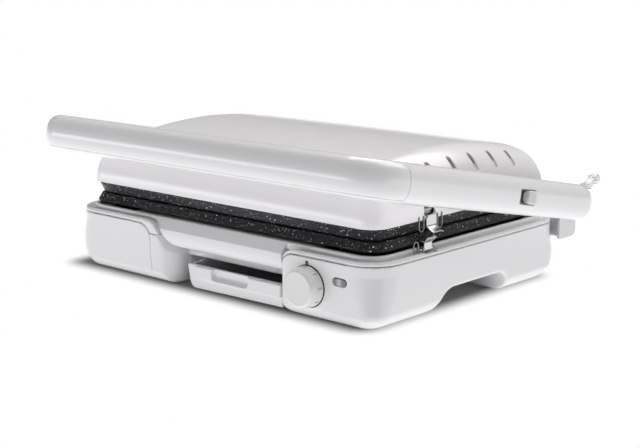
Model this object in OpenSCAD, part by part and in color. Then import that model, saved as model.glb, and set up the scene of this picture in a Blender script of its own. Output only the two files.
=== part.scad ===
// Countertop sandwich toaster: white moulded casings, two coated plates, a U-shaped
// handle that lifts the lid, a thermostat knob and a sliding drip tray.
// Origin: centre of the base, on the surface that the rubber feet stand on. +Y is the back.

/* [Base] */
// Width of the base across the seam
base_w = 370; // [340:1:390]
// Depth of the base across the seam
base_d = 262; // [250:1:275]
// Height of the seam between the base shell and its cover
seam_z = 53; // [50:1:56]
// Corner radius of the base in plan
base_corner = 28; // [20:1:34]
// Wall thickness of the plastic casings
wall = 2.5; // [2:0.1:3]
// Clear height under the rubber feet's casing
foot_h = 2; // [1.5:0.5:3]

/* [Front] */
// Inner edge of the left front pod
pod_left_x = -50; // [-60:1:-45]
// Inner edge of the control pod
pod_right_x = 82; // [76:1:86]
// Knob axis, from the middle of the base
knob_x = 113.7; // [108:0.1:118]
// Knob axis, above the surface
knob_z = 29.3; // [28:0.1:32]
// Largest radius of the knob
knob_r = 17; // [15:0.5:18]
// How far the knob stands out from the panel
knob_len = 13.5; // [12:0.5:16]

/* [Plates] */
// Height of the joint between the two plates
plate_z = 69.6; // [69:0.1:70.5]
// Depth of the cooking area below the joint
recess = 6.4; // [6:0.1:7]
// Number of grill ribs on each plate
ribs = 15; // [9:2:17]

/* [Lid] */
// Width of the lid
lid_w = 348; // [340:1:350]
// Depth of the lid
lid_d = 240; // [234:1:242]
// Lower edge of the lid's skirt
lid_z = 80; // [79.5:0.5:81]
// Highest point of the lid
lid_top = 132; // [130:1:134]
// Radius of the lid's shoulders
shoulder = 34; // [30:1:36]

/* [Handle] */
// Centre line of each arm, from the middle
arm_x = 200; // [199:0.5:204]
// Thickness of the handle, side to side
grip_t = 19; // [17:0.5:20]
// Height of the handle's section
grip_h = 32; // [30:0.5:33]
// Centre line radius of the handle's corners
bend = 28; // [26:1:34]
// Lid hinge, behind the middle
hinge_y = 134; // [132:0.5:136]
// Lid hinge, above the surface
hinge_z = 70; // [69:0.5:72]
// Distance from the hinge to the middle of the front bar
reach = 289; // [286:1:292]
// Drop of the arms towards the hinge, in degrees
tilt = 11.5; // [11:0.1:12]

/* [Hidden] */
$fn = 48;

half_w = base_w / 2;
half_d = base_d / 2;
white = [0.89, 0.88, 0.88];
steel = [0.72, 0.72, 0.73];
black = [0.08, 0.08, 0.08];
zinc = [0.6, 0.62, 0.64];

floor_z = 28.5;              // top of the shell's floor over the drip tray
notch_y = -109;              // back of the bay between the two front pods
arch_top = 21.5;             // top of the finger arches in the side walls
arch_front = -66;
pod_round = 22;              // round inner corner of the left pod
panel_round = 5;             // inner corner of the control pod
bay_back = 60;               // back of the bay that the drip tray slides in
arch_back = 46;
rim_in = 9;                  // the cover's raised rim, in from the casing's side
rim_top = 59.3;
well_in = 23.3;              // the opening that the lower plate hangs in
plate_half_w = half_w - 10;
plate_half_d = half_d - 11;
plate_low = 62;              // underside of the lower plate's flange
plate_slope = 5;             // how far each flange leans in towards the joint
pan_half_w = 158;            // the cooking area and the plate body below it
pan_half_d = 103;
pan_low = 52;
joint_gap = 0.5;
upper_z = plate_z + joint_gap;
pan_top = 92;
drain_x = 20;
drain_y = -92;
drain_r = 4;
tray_x0 = -34;
tray_x1 = 78;
tray_y0 = -127;
tray_y1 = 40;
tray_z0 = 4.5;
tray_z1 = 23.5;
tray_lip = 2.5;
section_n = 28;              // sides of the handle's oval section
clip_y = -61.5;
upper_clip_y = -51;
clip_w = 13;
lower_clip_x = half_w - 6.2;
lower_clip_z = 58.2;
upper_clip_x = lid_w / 2 - 5;
upper_clip_z = lid_z + 7.5;
clip_pin_r = 1.2;
pin_gap = 0.05;
pin_r = 4;
pivot_along = 147;           // from the hinge to the lid's pivot, along the arm
pivot_y = hinge_y - pivot_along * cos(tilt);
pivot_z = hinge_z + pivot_along * sin(tilt);
arm_front = bend - reach;    // where the arms meet the front bar, along the arm
arm_end = 13;
arm_tip_r = 15.8;            // round back end of the arms, from the side
arm_split = -3;              // the joint between an arm and its inner cover
arm_wall = 2.2;
ear_x = arm_x - grip_t / 2 - 4.3;
slider_at = -98;             // middle of the lock slider, along the arm
slider_travel = 8;

// ---- outlines and prisms -------------------------------------------------------

function arc(cx, cy, r, a0, a1, n = 6) =
    [for (i = [0:n]) let (a = a0 + (a1 - a0) * i / n) [cx + r * cos(a), cy + r * sin(a)]];

// A rectangle with its own radius at each corner, from low left, counter-clockwise
function rounded(x0, y0, x1, y1, r) = concat(
    arc(x0 + r[0], y0 + r[0], r[0], 180, 270), arc(x1 - r[1], y0 + r[1], r[1], 270, 360),
    arc(x1 - r[2], y1 - r[2], r[2], 0, 90), arc(x0 + r[3], y1 - r[3], r[3], 90, 180));

function rounded_all(x, y, r) = rounded(-x, -y, x, y, [r, r, r, r]);

// A lid profile: upright skirt, round shoulders and a crowned top
function crowned(half, z0, z1, r, rise) = concat(
    [[-half, z0], [half, z0]],
    arc(half - r, z1 - rise - r, r, 0, 78, 8),
    [for (i = [-5:5]) [-i / 6 * (half - r), z1 - rise * pow(abs(i) / 6, 2)]],
    arc(r - half, z1 - rise - r, r, 102, 180, 8));

// A section like a tall oval with a flatter outer face
function oval(w, h, n) =
    [for (i = [0:n - 1]) let (a = 360 * i / n, c = cos(a), s = sin(a))
        [w / 2 * sign(c) * pow(abs(c), 0.8), h / 2 * sign(s) * pow(abs(s), 0.9)]];

module plan(z0, z1, points)
    translate([0, 0, z0]) linear_extrude(z1 - z0) polygon(points);

module along_y(y0, y1, points)
    translate([0, y1, 0]) rotate([90, 0, 0]) linear_extrude(y1 - y0) polygon(points);

module along_x(x0, x1, points)
    translate([x0, 0, 0]) rotate([90, 0, 90]) linear_extrude(x1 - x0) polygon(points);

module block(x0, x1, y0, y1, z0, z1)
    translate([x0, y0, z0]) cube([x1 - x0, y1 - y0, z1 - z0]);

module rod_x(x0, x1, y, z, r)
    translate([x0, y, z]) rotate([0, 90, 0]) cylinder(r = r, h = x1 - x0);

module rod_y(x, y0, y1, z, r)
    translate([x, y1, z]) rotate([90, 0, 0]) cylinder(r = r, h = y1 - y0);

module rod_z(x, y, z0, z1, r)
    translate([x, y, z0]) cylinder(r = r, h = z1 - z0);

module both_sides() {
    children();
    mirror([1, 0, 0]) children();
}

// A pan-head screw that points along +Z, with a cross recess
module screw(r, len, head_r, head_h) {
    difference() {
        cylinder(r = head_r, h = head_h);
        for (a = [0, 90])
            rotate(a) translate([-head_r * 0.55, -0.4, -1]) cube([head_r * 1.1, 0.8, 1.8]);
    }
    translate([0, 0, head_h]) cylinder(r = r, h = len);
}

// ---- base ----------------------------------------------------------------------

// The tub's outside, drawn in by inset on every side but the top
module tub_form(inset, z0, z1) {
    intersection() {
        plan(z0, z1, rounded_all(half_w - inset, half_d - inset, base_corner - inset));
        along_y(-half_d, half_d,
            rounded(inset - half_w, foot_h + inset, half_w - inset, 80, [15, 15, 1, 1]));
        along_x(-half_w, half_w,
            rounded(inset - half_d, foot_h + inset, half_d - inset, 80, [9, 26, 1, 1]));
    }
}

// The bay between the pods in plan, grown by out, with the pods' round corners
function bay_mouth(out) = concat(
    [[pod_right_x + out, notch_y + out], [pod_left_x - out, notch_y + out]],
    arc(pod_left_x - pod_round, notch_y, pod_round - out, 0, -90),
    [[pod_left_x - pod_round, -half_d - 5], [pod_right_x + panel_round, -half_d - 5]],
    arc(pod_right_x + panel_round, panel_round - half_d, panel_round - out, 270, 180, 4));

// The finger arch from the side: a leaning front flank and a tighter back
function arch_line() = concat(
    [[arch_back, -9], [arch_back + 1, 5]],
    arc(arch_back - 13, arch_top - 13.5, 13.5, 8, 90, 6),
    arc(-29, arch_top - 24, 24, 90, 160, 6),
    [[arch_front + 10, 2.6], [arch_front + 4, 1], [arch_front, -9]]);

// The edge where the cover dips round the left pod, seen from the front
function dip_line(out) = concat(
    arc(pod_left_x - 34, seam_z - 15, 18.6 + out, 56, 34, 3),
    arc(pod_left_x + 2, seam_z - 1.5, 17.2 - out, 215, 268, 5));

function dip_cut(out) = concat([[pod_left_x - 23.2 + out, seam_z + 2]], dip_line(out),
    [[pod_left_x + 3, belly_low], [pod_left_x + 3, seam_z + 2]]);

module pod_spaces() {
    pods = [[wall - half_w, pod_left_x - wall], [pod_right_x + wall, half_w - wall]];
    block(wall - half_w, half_w - wall, bay_back + wall, half_d - wall, foot_h + wall, floor_z + 1);
    block(wall - half_w, half_w - wall, notch_y + wall, half_d - wall, floor_z, seam_z + 1);
    for (p = pods) {
        block(p[0], p[1], wall - half_d, notch_y + wall + 1, floor_z, seam_z + 1);
        block(p[0], p[1], wall - half_d, arch_front - wall, foot_h + wall, floor_z + 1);
        block(p[0], p[1], arch_back + wall, half_d - wall, foot_h + wall, floor_z + 1);
        block(p[0], p[1], arch_front - wall - 1, arch_back + wall + 1, arch_top + wall, floor_z + 1);
    }
}

gland_x = -90;
gland_z = 38;
foot_spots = [[-150, -98], [150, -98], [-150, 88], [150, 88]];
boss_spots = [[-168, -24], [168, -24], [-168, 28], [168, 28]];

module base_shell() {
    color(white)
    difference() {
        tub_form(0, foot_h, seam_z);
        intersection() {
            tub_form(wall, foot_h + wall, seam_z + 1);
            difference() {
                pod_spaces();
                plan(0, seam_z + 2, bay_mouth(wall));
                along_y(-half_d - 1, notch_y + 1, dip_cut(-wall));
            }
        }
        plan(0, seam_z + 1, bay_mouth(0));
        along_y(-half_d - 1, notch_y, dip_cut(0));
        block(pod_left_x, pod_right_x, -half_d - 1, bay_back, 0, floor_z - wall);
        along_x(-half_w - 1, half_w + 1, arch_line());
        for (f = foot_spots) rod_z(f[0], f[1], 0, 9, 3 + pin_gap);
        for (b = boss_spots) rod_z(b[0], b[1], arch_top - 1, arch_top + wall + 1, 1.7);
        rod_y(knob_x, -half_d - 1, wall - half_d + 1, knob_z, 5);
        along_y(-half_d - 1, wall - half_d + 1, lamp_outline(0.1));
        rod_y(gland_x, half_d - wall - 1, half_d + 1, gland_z, 7);
        rod_z(drain_x, drain_y, 20, 30, 8);
        for (s = [-1, 1]) for (z = [42, 48])
            rod_y(s * 150, half_d - wall - 1, half_d + 1, z, 1.8);
    }
}

// A ring of the cover, from one inset to another
module cover_ring(in0, in1, z0, z1) {
    difference() {
        plan(z0, z1, rounded_all(half_w - in0, half_d - in0, max(12, base_corner - in0)));
        plan(z0 - 1, z1 + 1, rounded_all(half_w - in1, half_d - in1, max(12, base_corner - in1)));
    }
}

// The round front wall of the cover, between the pods and above the drip tray
belly_low = 31.5;
belly_front = 128;
belly_round = 16;
function belly_line(out) = concat(
    [[notch_y - 0.3, 59 - out], [-half_d + 12 + out, 59 - out]],
    arc(-belly_front + belly_round, belly_low + belly_round, belly_round - out, 180, 250, 8),
    [[notch_y - 0.3, belly_low + out * 1.2]]);

// The belly from the front: the dip on the left and a tight corner by the control pod
function belly_side(out) = concat([[pod_left_x - 22.5 + out, 59]], dip_line(out),
    [[pod_left_x + 4, belly_low - 1], [pod_right_x - out, belly_low - 1], [pod_right_x - out, 59]]);

module base_cover() {
    color(white)
    difference() {
        union() {
            cover_ring(0, 7, seam_z + 0.4, 56.6);
            difference() {
                cover_ring(wall + 0.2, wall + 2.2, seam_z - 3, seam_z + 1);
                block(pod_left_x - 26.5, pod_right_x + wall + 0.3, -half_d - 1, notch_y,
                    seam_z - 4, seam_z + 0.3);
            }
            cover_ring(6, rim_in + 1, seam_z + 0.4, 54.8);
            cover_ring(rim_in, rim_in + 3, seam_z + 0.4, rim_top);
            cover_ring(rim_in + 2, well_in, seam_z + 0.4, seam_z + 2.6);
            intersection() {
                along_x(pod_left_x - 23, pod_right_x - 0.3, belly_line(0));
                along_y(-half_d, notch_y, belly_side(0.3));
            }
            for (b = boss_spots) rod_z(b[0], b[1], arch_top + wall, seam_z + 1, 3.6);
            both_sides() for (y = [clip_y - 9.6, clip_y + 7.4])
                block(lower_clip_x - 2.6, lower_clip_x + 2.6, y, y + 2.2, 55, 61);
        }
        // hollow of the round front
        intersection() {
            along_x(pod_left_x - 23, pod_right_x - 0.3 - wall, belly_line(wall));
            along_y(-half_d, notch_y + 1, belly_side(0.3 + wall));
            block(-half_w, half_w, -half_d - 1, notch_y + 1, belly_low + wall, seam_z + 0.3);
        }
        // room for the shell's wall behind the bay
        block(pod_left_x - 0.4, pod_right_x + 0.4, notch_y, notch_y + wall + 0.2, 40, seam_z + 0.3);
        for (b = boss_spots) rod_z(b[0], b[1], arch_top, 44, 1.5);
        both_sides() {
            rod_y(lower_clip_x, clip_y - 11, clip_y + 11, lower_clip_z, clip_pin_r);
            block(lower_clip_x - 2.8, lower_clip_x + 4, clip_y - 7.4, clip_y + 7.4, 55.5, 61);
        }
    }
}

module rubber_feet() {
    color([0.2, 0.2, 0.2])
    for (f = foot_spots) {
        rod_z(f[0], f[1], 0, foot_h, 8);
        rod_z(f[0], f[1], foot_h, foot_h + wall + 2, 3);
    }
}

// A plate's flange: wide at far_z and drawn in by plate_slope at the joint
module flange(far_z, joint_z) {
    lo = min(far_z, joint_z);
    hi = max(far_z, joint_z);
    d_lo = far_z < joint_z ? 0 : plate_slope;
    d_hi = far_z < joint_z ? plate_slope : 0;
    intersection() {
        plan(lo, hi, rounded_all(plate_half_w, plate_half_d, 16));
        along_y(-half_d, half_d, [[d_lo - plate_half_w, lo], [plate_half_w - d_lo, lo],
            [plate_half_w - d_hi, hi], [d_hi - plate_half_w, hi]]);
        along_x(-half_w, half_w, [[d_lo - plate_half_d, lo], [plate_half_d - d_lo, lo],
            [plate_half_d - d_hi, hi], [d_hi - plate_half_d, hi]]);
    }
}

// Ribs from z0 to z1 across the cooking area; flip turns the narrow edge down
module rib_rows(z0, z1, flip) {
    pitch = 2 * (pan_half_w - 8) / (ribs + 1);
    wide = 2.4;
    tip = 1.4;
    for (i = [1:ribs]) {
        x = -pan_half_w + 8 + i * pitch;
        along_y(16 - pan_half_d, pan_half_d - 8, flip
            ? [[x - tip, z0], [x + tip, z0], [x + wide, z1], [x - wide, z1]]
            : [[x - wide, z0], [x + wide, z0], [x + tip, z1], [x - tip, z1]]);
    }
}

module lower_plate() {
    color(black) {
        difference() {
            union() {
                flange(plate_low, plate_z);
                plan(pan_low, plate_low + 1, rounded_all(pan_half_w + 3, pan_half_d + 3, 12));
            }
            plan(plate_z - recess, plate_z + 1, rounded_all(pan_half_w, pan_half_d, 10));
            plan(pan_low - 1, plate_z - recess - 4, rounded_all(pan_half_w - 1, pan_half_d - 12, 8));
            rod_z(drain_x, drain_y, pan_low - 1, plate_z, drain_r);
        }
        rib_rows(plate_z - recess - 0.2, plate_z - recess + 3, false);
    }
}

// A tubular heating element: four runs joined by half turns, with upright ends
module element(z, ends_z) {
    run = 118;
    step = 36;
    r = 3.2;
    rows = [-1.5, -0.5, 0.5, 1.5];
    for (i = rows) rod_x(-run, run, i * step, z, r);
    for (i = [-1, 0, 1])
        translate([i == 0 ? -run : run, i * step, z]) rotate(i == 0 ? 90 : -90)
            rotate_extrude(angle = 180) translate([step / 2, 0]) circle(r = r);
    for (s = [-1, 1]) {
        translate([-run, s * 1.5 * step, z]) sphere(r = r);
        rod_z(-run, s * 1.5 * step, min(z, ends_z), max(z, ends_z), 2.2);
    }
}

module lower_heater() color(zinc) element(pan_low - 0.4, pan_low - 14);
module upper_heater() color(zinc) element(pan_top + 0.4, pan_top + 14);

// A folded sheet pan that throws the heat back, open towards the plate
module reflector(z_open, z_back, reach_x, y0, y1) {
    t = 0.8;
    lo = min(z_open, z_back);
    hi = max(z_open, z_back);
    down = z_back < z_open;
    difference() {
        block(-reach_x, reach_x, y0, y1, lo, hi);
        block(t - reach_x, reach_x - t, y0 + t, y1 - t, down ? lo + t : lo - 1, down ? hi + 1 : hi - t);
        for (s = [-1, 1]) rod_z(-118, s * 54, lo - 1, hi + 1, 4);
    }
}

module lower_reflector() color(steel) reflector(pan_low - 0.4, pan_low - 10, 152, -84, 100);
module upper_reflector() color(steel) reflector(pan_top + 0.4, pan_top + 10, 152, -84, 84);

module drain_chute() {
    color(steel)
    difference() {
        union() {
            rod_z(drain_x, drain_y, 25.2, pan_low - 0.3, 6);
            rod_z(drain_x, drain_y, floor_z, floor_z + 1, 10);
        }
        rod_z(drain_x, drain_y, 20, pan_low + 1, 5);
    }
}

// The tray, open at the top, with a pull panel and a scooped grip at its front
module drip_tray() {
    color(white)
    difference() {
        union() {
            plan(tray_z0, tray_z1 - 2, rounded(tray_x0, tray_y0 + 3, tray_x1, tray_y1, [3, 3, 8, 8]));
            block(tray_x0 - tray_lip, tray_x1 + tray_lip, tray_y0 + 18, tray_y1, tray_z1 - 2, tray_z1);
            block(tray_x0, tray_x1, tray_y0 + 3, tray_y0 + 18.1, tray_z1 - 2.1, tray_z1);
            along_y(tray_y0, tray_y0 + 4, rounded(tray_x0 - 2, tray_z0 - 0.5, tray_x1 + 3.4,
                tray_z1 + 0.8, [8, 2, 1, 1]));
            along_y(tray_y0 - 2.4, tray_y0 + 1, rounded(tray_x0 + 14, tray_z0 + 10, tray_x1 + 3.4,
                tray_z1 + 0.8, [3, 1, 1, 1]));
        }
        plan(tray_z0 + 1.8, tray_z1 + 1, rounded(tray_x0 + 2, tray_y0 + 6, tray_x1 - 2, tray_y1 - 2,
            [3, 3, 7, 7]));
        rod_x(2, 46, tray_y0 - 4.6, tray_z1 - 3, 5.4);
    }
}

module tray_rails() {
    color(zinc) {
        for (s = [0, 1]) {
            wall_x = s == 0 ? tray_x0 - tray_lip - 0.5 : tray_x1 + tray_lip + 0.5;
            out = s == 0 ? -1 : 1;
            block(min(wall_x, wall_x + out), max(wall_x, wall_x + out), -100, 55, 18, floor_z - wall);
            block(min(wall_x - out * 2.6, wall_x), max(wall_x - out * 2.6, wall_x), -100, 55, 18, 20.8);
        }
        // stop at the back of the rails
        block(tray_x0 - tray_lip - 0.5, tray_x1 + tray_lip + 0.5, 52, 55, 20.8, floor_z - wall);
    }
}

// ---- controls ------------------------------------------------------------------

module thermostat() {
    color(zinc)
    difference() {
        union() {
            block(knob_x - 13, knob_x + 13, -110, -88, knob_z - 12, knob_z + 12);
            rod_y(knob_x, -half_d + wall + 0.3, -110, knob_z, 4.8);
        }
        rod_y(knob_x, -half_d, -100, knob_z, 3 + pin_gap);
    }
}

module knob_shaft() {
    color(steel) rod_y(knob_x, -half_d - 9, -101, knob_z, 3);
}

// A barrel that narrows to a chamfered cap
module thermostat_knob() {
    color(white)
    translate([knob_x, -half_d - 0.6, knob_z]) rotate([90, 0, 0])
    difference() {
        rotate_extrude($fn = 64) polygon([[0, 0], [knob_r - 0.6, 0], [knob_r, 0.8],
            [knob_r - 0.9, 5.5], [knob_r - 1.6, knob_len - 4.2], [knob_r - 3.6, knob_len - 1.2],
            [knob_r - 4.6, knob_len - 0.6], [0, knob_len - 0.6]]);
        translate([0, 0, -1]) cylinder(r = 3, h = 9.4);
        difference() {
            translate([0, 0, -1]) cylinder(r = knob_r - 3, h = 6);
            translate([0, 0, -2]) cylinder(r = 6, h = 9);
        }
    }
}

lamp_x = 147;
lamp_z = 38;
function lamp_outline(grow) =
    rounded(lamp_x - 7 - grow, lamp_z - 2.8 - grow, lamp_x + 7 + grow, lamp_z + 2.8 + grow,
        [2.7 + grow, 2.7 + grow, 2.7 + grow, 2.7 + grow]);

module lamp_window() {
    color([0.6, 0.6, 0.6])
    difference() {
        union() {
            along_y(-half_d - 0.3, wall - half_d, lamp_outline(0));
            along_y(wall - half_d, wall - half_d + 1, lamp_outline(2));
        }
        for (s = [-1, 1]) rod_y(lamp_x + s * 3.5, -half_d + 1.2, -half_d + 9, lamp_z, 2.1);
    }
}

module indicator_lamps() {
    color([0.8, 0.3, 0.1])
    for (s = [-1, 1]) {
        rod_y(lamp_x + s * 3.5, -half_d + 1.6, -half_d + 12, lamp_z, 1.9);
        for (t = [-1, 1]) rod_y(lamp_x + s * 3.5 + t * 0.8, -half_d + 12, -half_d + 18, lamp_z, 0.3);
    }
}

module terminal_block() {
    color([0.85, 0.85, 0.8])
    difference() {
        block(-112, -78, 92, 106, floor_z, floor_z + 13);
        for (x = [-105, -95, -85]) {
            rod_y(x, 90, 108, floor_z + 4.5, 1.8);
            rod_z(x, 99, floor_z + 6, floor_z + 14, 2);
        }
    }
}

module thermal_fuse() {
    color(steel) {
        rod_x(60, 74, 107, 47, 2.6);
        for (x = [[50, 60], [74, 84]]) rod_x(x[0], x[1], 107, 47, 0.6);
    }
}

// Bush with the cord's inlet, in the back wall
module cord_gland() {
    color([0.85, 0.85, 0.85])
    difference() {
        union() {
            rod_y(gland_x, half_d - 5, half_d + 4, gland_z, 7 - pin_gap);
            rod_y(gland_x, half_d, half_d + 4, gland_z, 10);
            rod_y(gland_x, half_d - 6, half_d - wall, gland_z, 8);
        }
        rod_y(gland_x, half_d - 8, half_d + 6, gland_z, 3.6);
    }
}

// ---- hinge ---------------------------------------------------------------------

// Bent plate: a flange on the back wall and an ear beside the arm
module hinge_bracket() {
    t = 2.4;
    color(steel)
    difference() {
        union() {
            block(136, ear_x + t, half_d, half_d + t, 37, 53);
            along_x(ear_x, ear_x + t, rounded(half_d - 11, 37, half_d + 15.6, hinge_z + 12, [2, 6, 12, 12]));
        }
        for (z = [42, 48]) rod_y(150, half_d - 1, half_d + t + 1, z, 1.8);
        rod_x(ear_x - 1, ear_x + t + 1, hinge_y, hinge_z, pin_r);
    }
}

module hinge_bracket_right() hinge_bracket();
module hinge_bracket_left() mirror([1, 0, 0]) hinge_bracket();

// Riveted in the ears; the arms turn on them
module hinge_pins() {
    color(steel)
    both_sides() {
        rod_x(ear_x - 2, ear_x, hinge_y, hinge_z, 6);
        rod_x(ear_x, arm_x + 1, hinge_y, hinge_z, pin_r);
    }
}

module bracket_screws() {
    color(zinc)
    for (s = [-1, 1]) for (z = [42, 48])
        translate([s * 150, half_d + 4, z]) rotate([90, 0, 0]) screw(1.6, 8, 2.9, 1.6);
}

module base_screws() {
    color(zinc)
    for (b = boss_spots)
        translate([b[0], b[1], arch_top - 1.6]) screw(1.5, 14, 2.9, 1.6);
}

// Two hooks on the back wall that the lead is wound on
module cord_hooks() {
    color([0.9, 0.9, 0.92])
    both_sides() {
        rod_y(122, half_d, half_d + 18, 40, 5);
        rod_y(122, half_d + 18, half_d + 21, 40, 9);
    }
}

// ---- plate clips ---------------------------------------------------------------

// Spring-loaded lever that hooks over the lower plate's flange
module lower_clip() {
    x = lower_clip_x;
    z = lower_clip_z;
    color(steel)
    difference() {
        union() {
            rod_y(x, clip_y - clip_w / 2, clip_y + clip_w / 2, z, 2.1);
            along_y(clip_y - clip_w / 2, clip_y + clip_w / 2,
                [[x - 1.0, z], [x + 2.1, z], [x + 2.1, 64.2], [x + 5.6, 67.8], [x + 4.9, 68.6],
                 [x + 0.9, 65.0], [x - 3.6, 66.0], [x - 3.8, 65.0], [x + 0.9, 63.9], [x + 0.9, z + 1.5]]);
        }
        rod_y(x, clip_y - 20, clip_y + 20, z, clip_pin_r + pin_gap);
    }
}

module lower_clip_right() lower_clip();
module lower_clip_left() mirror([1, 0, 0]) lower_clip();

module lower_clip_pins() {
    color(steel) both_sides() rod_y(lower_clip_x, clip_y - 9.6, clip_y + 9.6, lower_clip_z, clip_pin_r);
}

// Half loop of spring wire with two legs, standing on z0 beside a clip
module wire_loop(x, y, z0, z1) {
    r = 0.6;
    half = 3;
    translate([x, y, z1 - half]) rotate([90, 0, 90])
        rotate_extrude(angle = 180) translate([half, 0]) circle(r = r, $fn = 16);
    for (s = [-1, 1]) rod_z(x, y + s * half, z0, z1 - half, r);
}

module lower_clip_springs() {
    color(steel) both_sides() wire_loop(lower_clip_x + 1, clip_y - 15, 56.6, 66);
}

// Spring-loaded lever that hooks under the upper plate's flange
module upper_clip() {
    t = 1.1;
    x = upper_clip_x;
    z = upper_clip_z;
    out = lid_w / 2 + 0.8;
    y0 = upper_clip_y - clip_w / 2;
    y1 = upper_clip_y + clip_w / 2;
    color(steel)
    difference() {
        union() {
            rod_y(x, y0, y1, z, 2.1);
            along_y(y0, y1, [[x, z - 0.9], [out, z - 2.6], [out, 75.6], [out - 2.6, 73.9],
                [out - 2.1, 73.0], [out + 0.6, 74.6], [out + 6.6, 70.6], [out + 7.4, 71.5],
                [out + t, 75.8], [out + t, z - 1.6], [x, z + 0.9]]);
        }
        rod_y(x, y0 - 9, y1 + 9, z, clip_pin_r + pin_gap);
    }
}

module upper_clip_right() upper_clip();
module upper_clip_left() mirror([1, 0, 0]) upper_clip();

module upper_clip_pins() {
    color(steel) both_sides()
        rod_y(upper_clip_x, upper_clip_y - 9.6, upper_clip_y + 9.6, upper_clip_z, clip_pin_r);
}

module upper_clip_springs() {
    color(steel) both_sides() for (s = [-1, 1]) mirror([0, 0, 1])
        wire_loop(lid_w / 2 + 0.6, upper_clip_y + s * 12, -lid_z - 4, -71.5);
}

// ---- handle --------------------------------------------------------------------

// Everything on the arms is drawn level, with the hinge at its origin, and then tilted
module on_arms() {
    translate([0, hinge_y, hinge_z]) rotate([-tilt, 0, 0]) children();
}

module ring_section() {
    difference() {
        polygon(oval(grip_t, grip_h, section_n));
        polygon(oval(grip_t - 2 * wall, grip_h - 2 * wall, section_n));
    }
}

module handle_bar() {
    straight = arm_x - bend;
    color(white)
    on_arms() {
        translate([-straight, -reach, 0]) rotate([90, 0, 90])
            linear_extrude(2 * straight) ring_section();
        for (s = [0, 1]) mirror([s, 0, 0])
            translate([straight, bend - reach, 0]) rotate(-90)
                rotate_extrude(angle = 90, $fn = 64) translate([bend, 0]) ring_section();
    }
}

// The outline of an arm from the side, drawn in by inset
module arm_body(inset) {
    intersection() {
        translate([arm_x, arm_end, 0]) rotate([90, 0, 0])
            linear_extrude(arm_end - arm_front - inset)
                polygon(oval(grip_t - 2 * inset, grip_h - 2 * inset, section_n));
        along_x(arm_x - grip_t, arm_x + grip_t, rounded(arm_front + inset, -grip_h / 2 + inset,
            arm_end - inset, grip_h / 2 - inset, [0.1, arm_tip_r - inset, arm_tip_r - inset, 0.1]));
    }
}

module arm_pivots(extra) {
    for (y = [0, -pivot_along]) rod_x(arm_x - 20, arm_x + 3, y, 0, pin_r + extra);
}

module arm_half(outer) {
    split = arm_x + arm_split;
    big = 40;
    difference() {
        intersection() {
            arm_body(0);
            if (outer) block(split, split + big, arm_front - 1, big, -big, big);
            else block(split - big, split, arm_front - 1, big, -big, big);
        }
        arm_body(arm_wall);
    }
}

slot_len = 25;
module arm(with_slot) {
    color(white)
    difference() {
        arm_half(true);
        if (with_slot) block(arm_x + 4, arm_x + 12, slider_at - slot_len / 2,
            slider_at + slot_len / 2, -6.5, 6.5);
    }
}

module arm_right() on_arms() arm(true);
module arm_left() on_arms() mirror([1, 0, 0]) arm(false);

module arm_cover() {
    color([0.8, 0.79, 0.79])
    difference() {
        arm_half(false);
        arm_pivots(0.4);
        for (y = [-230, -60]) rod_x(arm_x - 20, arm_x, y, 0, 1.7);
    }
}

module arm_cover_right() on_arms() arm_cover();
module arm_cover_left() on_arms() mirror([1, 0, 0]) arm_cover();

// Flat steel bar in each arm, with the bore that turns on the hinge pin
module arm_straps() {
    color(zinc)
    both_sides() on_arms()
    difference() {
        along_x(arm_x - 3, arm_x, rounded(arm_front + 6, -9, arm_end - 3.4, 9, [3, 9, 9, 3]));
        rod_x(arm_x - 9, arm_x + 9, 0, 0, pin_r + pin_gap);
        rod_x(arm_x - 9, arm_x + 9, -pivot_along, 0, pin_r);
    }
}

// Shouldered bolts that the lid hangs on
module pivot_bolts() {
    color(steel)
    both_sides() on_arms() {
        rod_x(lid_w / 2 - 10, arm_x, -pivot_along, 0, pin_r);
        rod_x(arm_x, arm_x + 1.6, -pivot_along, 0, 6.5);
        rod_x(lid_w / 2 - 11.6, lid_w / 2 - 9.6, -pivot_along, 0, 6);
    }
}

module arm_screws() {
    color(zinc)
    both_sides() on_arms() for (y = [-230, -60])
        translate([arm_x - grip_t / 2 - 1.6, y, 0]) rotate([0, 90, 0]) screw(1.5, 6.3, 2.9, 1.6);
}

// Clear lug that stands up from the back end of each arm
lug_reach = 16.905;
module stop_lugs() {
    color([0.93, 0.93, 0.95])
    both_sides() on_arms()
    difference() {
        along_x(arm_x - 3, arm_x + 5, concat(
            arc(arm_end - arm_tip_r, grip_h / 2 - arm_tip_r, arm_tip_r, 15, 60, 3),
            arc(lug_reach, 23, 4.2, 150, -50, 8)));
        rod_x(arm_x - 9, arm_x + 9, lug_reach - 0.6, 22.4, 1.6);
    }
}

module lock_slider() {
    color([0.83, 0.82, 0.84])
    on_arms()
    difference() {
        along_x(arm_x + 4.6, arm_x + grip_t / 2, rounded(slider_at - slot_len / 2 + slider_travel + 0.3,
            -6.2, slider_at + slot_len / 2 - 0.3, 6.2, [2, 2, 2, 2]));
        for (i = [-1, 0, 1])
            rod_z(arm_x + grip_t / 2 + 0.4, slider_at + slider_travel / 2 + i * 3, -4, 4, 0.8);
    }
}

module lock_plate() {
    color(zinc) on_arms()
        block(arm_x + 1.2, arm_x + 3.8, slider_at - 16, slider_at + 16, -9, 9);
}

// ---- lid -----------------------------------------------------------------------

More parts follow.
